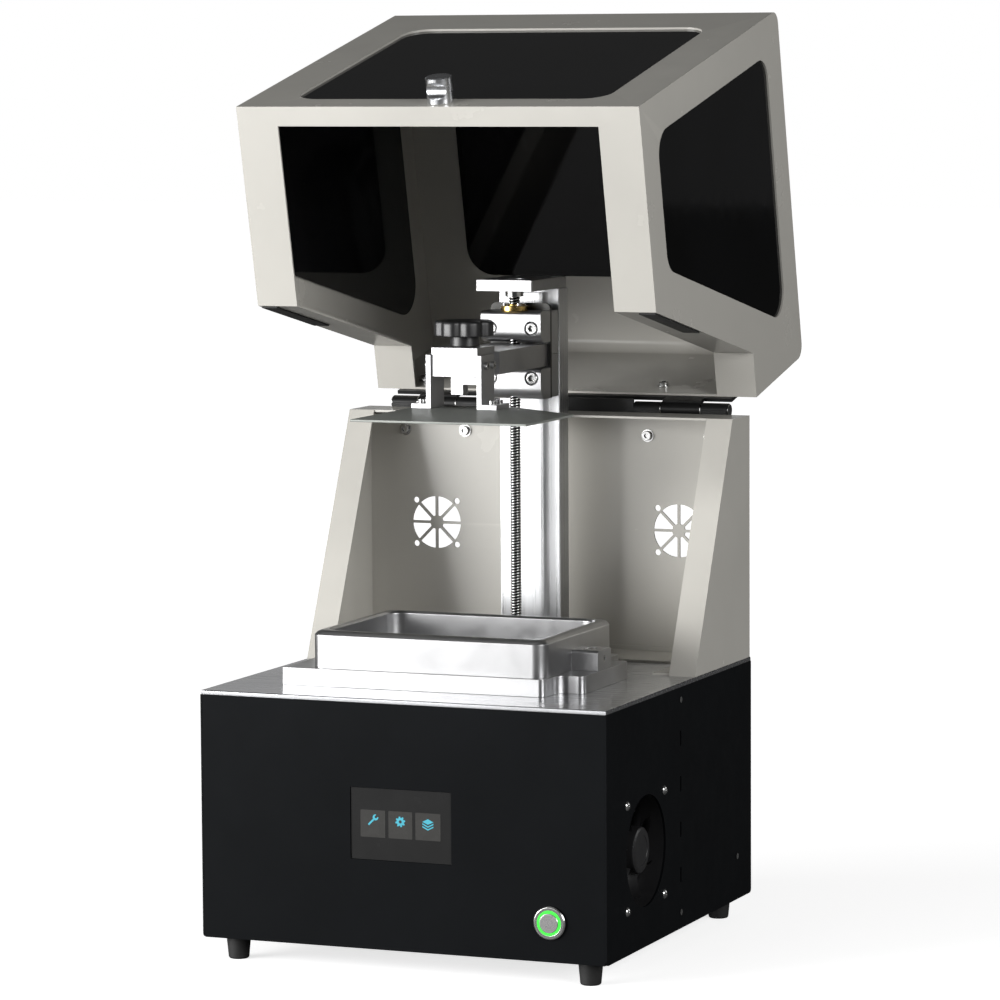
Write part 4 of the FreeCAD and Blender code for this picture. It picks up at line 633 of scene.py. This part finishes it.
def display_picture():
    """Three grey tiles on the display, with a spanner, a gear and a stack of layers in cyan."""
    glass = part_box("display_glass")[0].y
    tile_low, tile_high, tile_round, icon_z = 0.0930, 0.1115, 0.0005, 0.1046
    tile_front, tile_back, icon_front, icon_back = 0.00012, 0.00001, 0.00022, 0.00013
    spans = ((-0.0296, -0.0114), (-0.0091, 0.0084), (0.0106, 0.0289))
    tiles = bmesh.new()
    for x0, x1 in spans:
        loop = rounded_rect(x0, x1, tile_low, tile_high, tile_round)
        flat_shape(tiles, loop, glass - tile_front, glass - tile_back)
    piece("display_tiles", tiles, TILE, "case", smooth=False)
    icons = bmesh.new()
    y0, y1 = glass - icon_front, glass - icon_back
    left, middle, right = ((x0 + x1) / 2 for x0, x1 in spans)
    spanner_icon(icons, left, icon_z, y0, y1)
    gear_faces(icons, middle, icon_z, y0, y1, outer=0.0036, inner=0.0027, hole=0.0011, teeth=8)
    layers_icon(icons, right, icon_z, y0, y1)
    bmesh.ops.recalc_face_normals(icons, faces=icons.faces)
    piece("display_icons", icons, ICON, "case", smooth=False)


# ---- stage ----------------------------------------------------------------------------------
FLOOR_HALF = 14                    # half the floor's width in metres
FLOOR_BOUNCE = (0.22, 0.22, 0.22, 1)
SKY_SEEN, SKY_LIGHT = 1.0, 0.05    # the surround's strength in the picture and as a light


def soft_light(name, place, aim, size, power):
    """A rectangular soft box that lights the object but is not itself in the picture."""
    data = bpy.data.lights.new(name, "AREA")
    data.shape = "RECTANGLE"
    data.size, data.size_y = size
    data.energy = power
    light = bpy.data.objects.new(name, data)
    light.location = place
    light.rotation_euler = (Vector(aim) - Vector(place)).to_track_quat("-Z", "Y").to_euler()
    light.visible_camera = False
    bpy.context.scene.collection.objects.link(light)


def seen_only(tree, strength_seen, strength_lit):
    """A strength that is one value where the floor or sky is seen and another for its light."""
    path = tree.nodes.new("ShaderNodeLightPath")
    pick = tree.nodes.new("ShaderNodeMapRange")
    tree.links.new(path.outputs["Is Camera Ray"], pick.inputs["Value"])
    pick.inputs["To Min"].default_value = strength_lit
    pick.inputs["To Max"].default_value = strength_seen
    return pick.outputs[0]


def pale_floor():
    """A matt floor that is seen nearly white, whiter with distance, and bounces little light."""
    pale = surface("pale_floor", (0.80, 0.80, 0.80), 0.9, vary=0.01, rough_vary=0.03, cloud=1.5,
                   grain=60, depth=0.0001, strength=0.05, Specular_IOR_Level=0.1)
    tree = pale.node_tree
    shader = next(n for n in tree.nodes if n.type == "BSDF_PRINCIPLED")
    shader.inputs["Emission Color"].default_value = (1, 1, 1, 1)
    coords = tree.nodes.new("ShaderNodeTexCoord")
    reach = tree.nodes.new("ShaderNodeVectorMath")
    reach.operation = "LENGTH"
    tree.links.new(coords.outputs["Object"], reach.inputs[0])
    fade = tree.nodes.new("ShaderNodeMapRange")
    tree.links.new(reach.outputs["Value"], fade.inputs["Value"])
    for key, value in (("From Min", 0.4), ("From Max", 3.5), ("To Min", 0.72), ("To Max", 1.0)):
        fade.inputs[key].default_value = value
    seen = seen_only(tree, 1.0, 0.0)
    glowing = tree.nodes.new("ShaderNodeMath")
    glowing.operation = "MULTIPLY"
    tree.links.new(fade.outputs[0], glowing.inputs[0])
    tree.links.new(seen, glowing.inputs[1])
    tree.links.new(glowing.outputs[0], shader.inputs["Emission Strength"])
    shade = tree.nodes.new("ShaderNodeMix")
    shade.data_type = "RGBA"
    tree.links.new(seen, shade.inputs["Factor"])
    shade.inputs["A"].default_value = FLOOR_BOUNCE
    base = shader.inputs["Base Color"]
    tree.links.new(base.links[0].from_socket, shade.inputs["B"])
    tree.links.new(shade.outputs["Result"], base)
    return pale


def make_stage():
    """A pale floor, a white surround that gives little light, and soft boxes as in a studio."""
    bm = bmesh.new()
    bmesh.ops.create_grid(bm, x_segments=2, y_segments=2, size=FLOOR_HALF)
    mesh = bpy.data.meshes.new("floor")
    bm.to_mesh(mesh)
    bm.free()
    floor = bpy.data.objects.new("floor", mesh)
    mesh.materials.append(pale_floor())
    bpy.context.scene.collection.objects.link(floor)
    world = bpy.data.worlds.new("studio")
    world.use_nodes = True
    back = world.node_tree.nodes["Background"]
    back.inputs["Color"].default_value = (1.0, 1.0, 1.0, 1)
    strength = seen_only(world.node_tree, SKY_SEEN, SKY_LIGHT)
    world.node_tree.links.new(strength, back.inputs["Strength"])
    bpy.context.scene.world = world
    soft_light("key", (-2.05, -1.9, 0.50), (0, 0, 0.48), (2.0, 1.3), 124)
    soft_light("low_panel", (-0.55, -1.30, 0.46), (0, 0, 0.46), (0.95, 0.92), 3.8)
    soft_light("fill_right", (2.5, -1.4, 1.1), (0, 0, 0.45), (1.3, 1.2), 44)
    soft_light("back_left", (-1.4, 2.9, 0.75), (0, 0, 0.30), (2.4, 1.2), 3.6)
    soft_light("back_right", (2.6, 2.0, 1.2), (0, 0, 0.35), (1.2, 1.2), 11)
    soft_light("top", (-0.4, -0.2, 2.6), (0, 0, 0.30), (1.6, 1.6), 2)
    bpy.context.scene.view_settings.view_transform = "Standard"


make_camera()
make_stage()
for node, (mat, width) in FINISH.items():
    coat(node, mat, width)
lead_screw()
star_knob()
impeller()
display_picture()

bpy.context.view_layer.update()
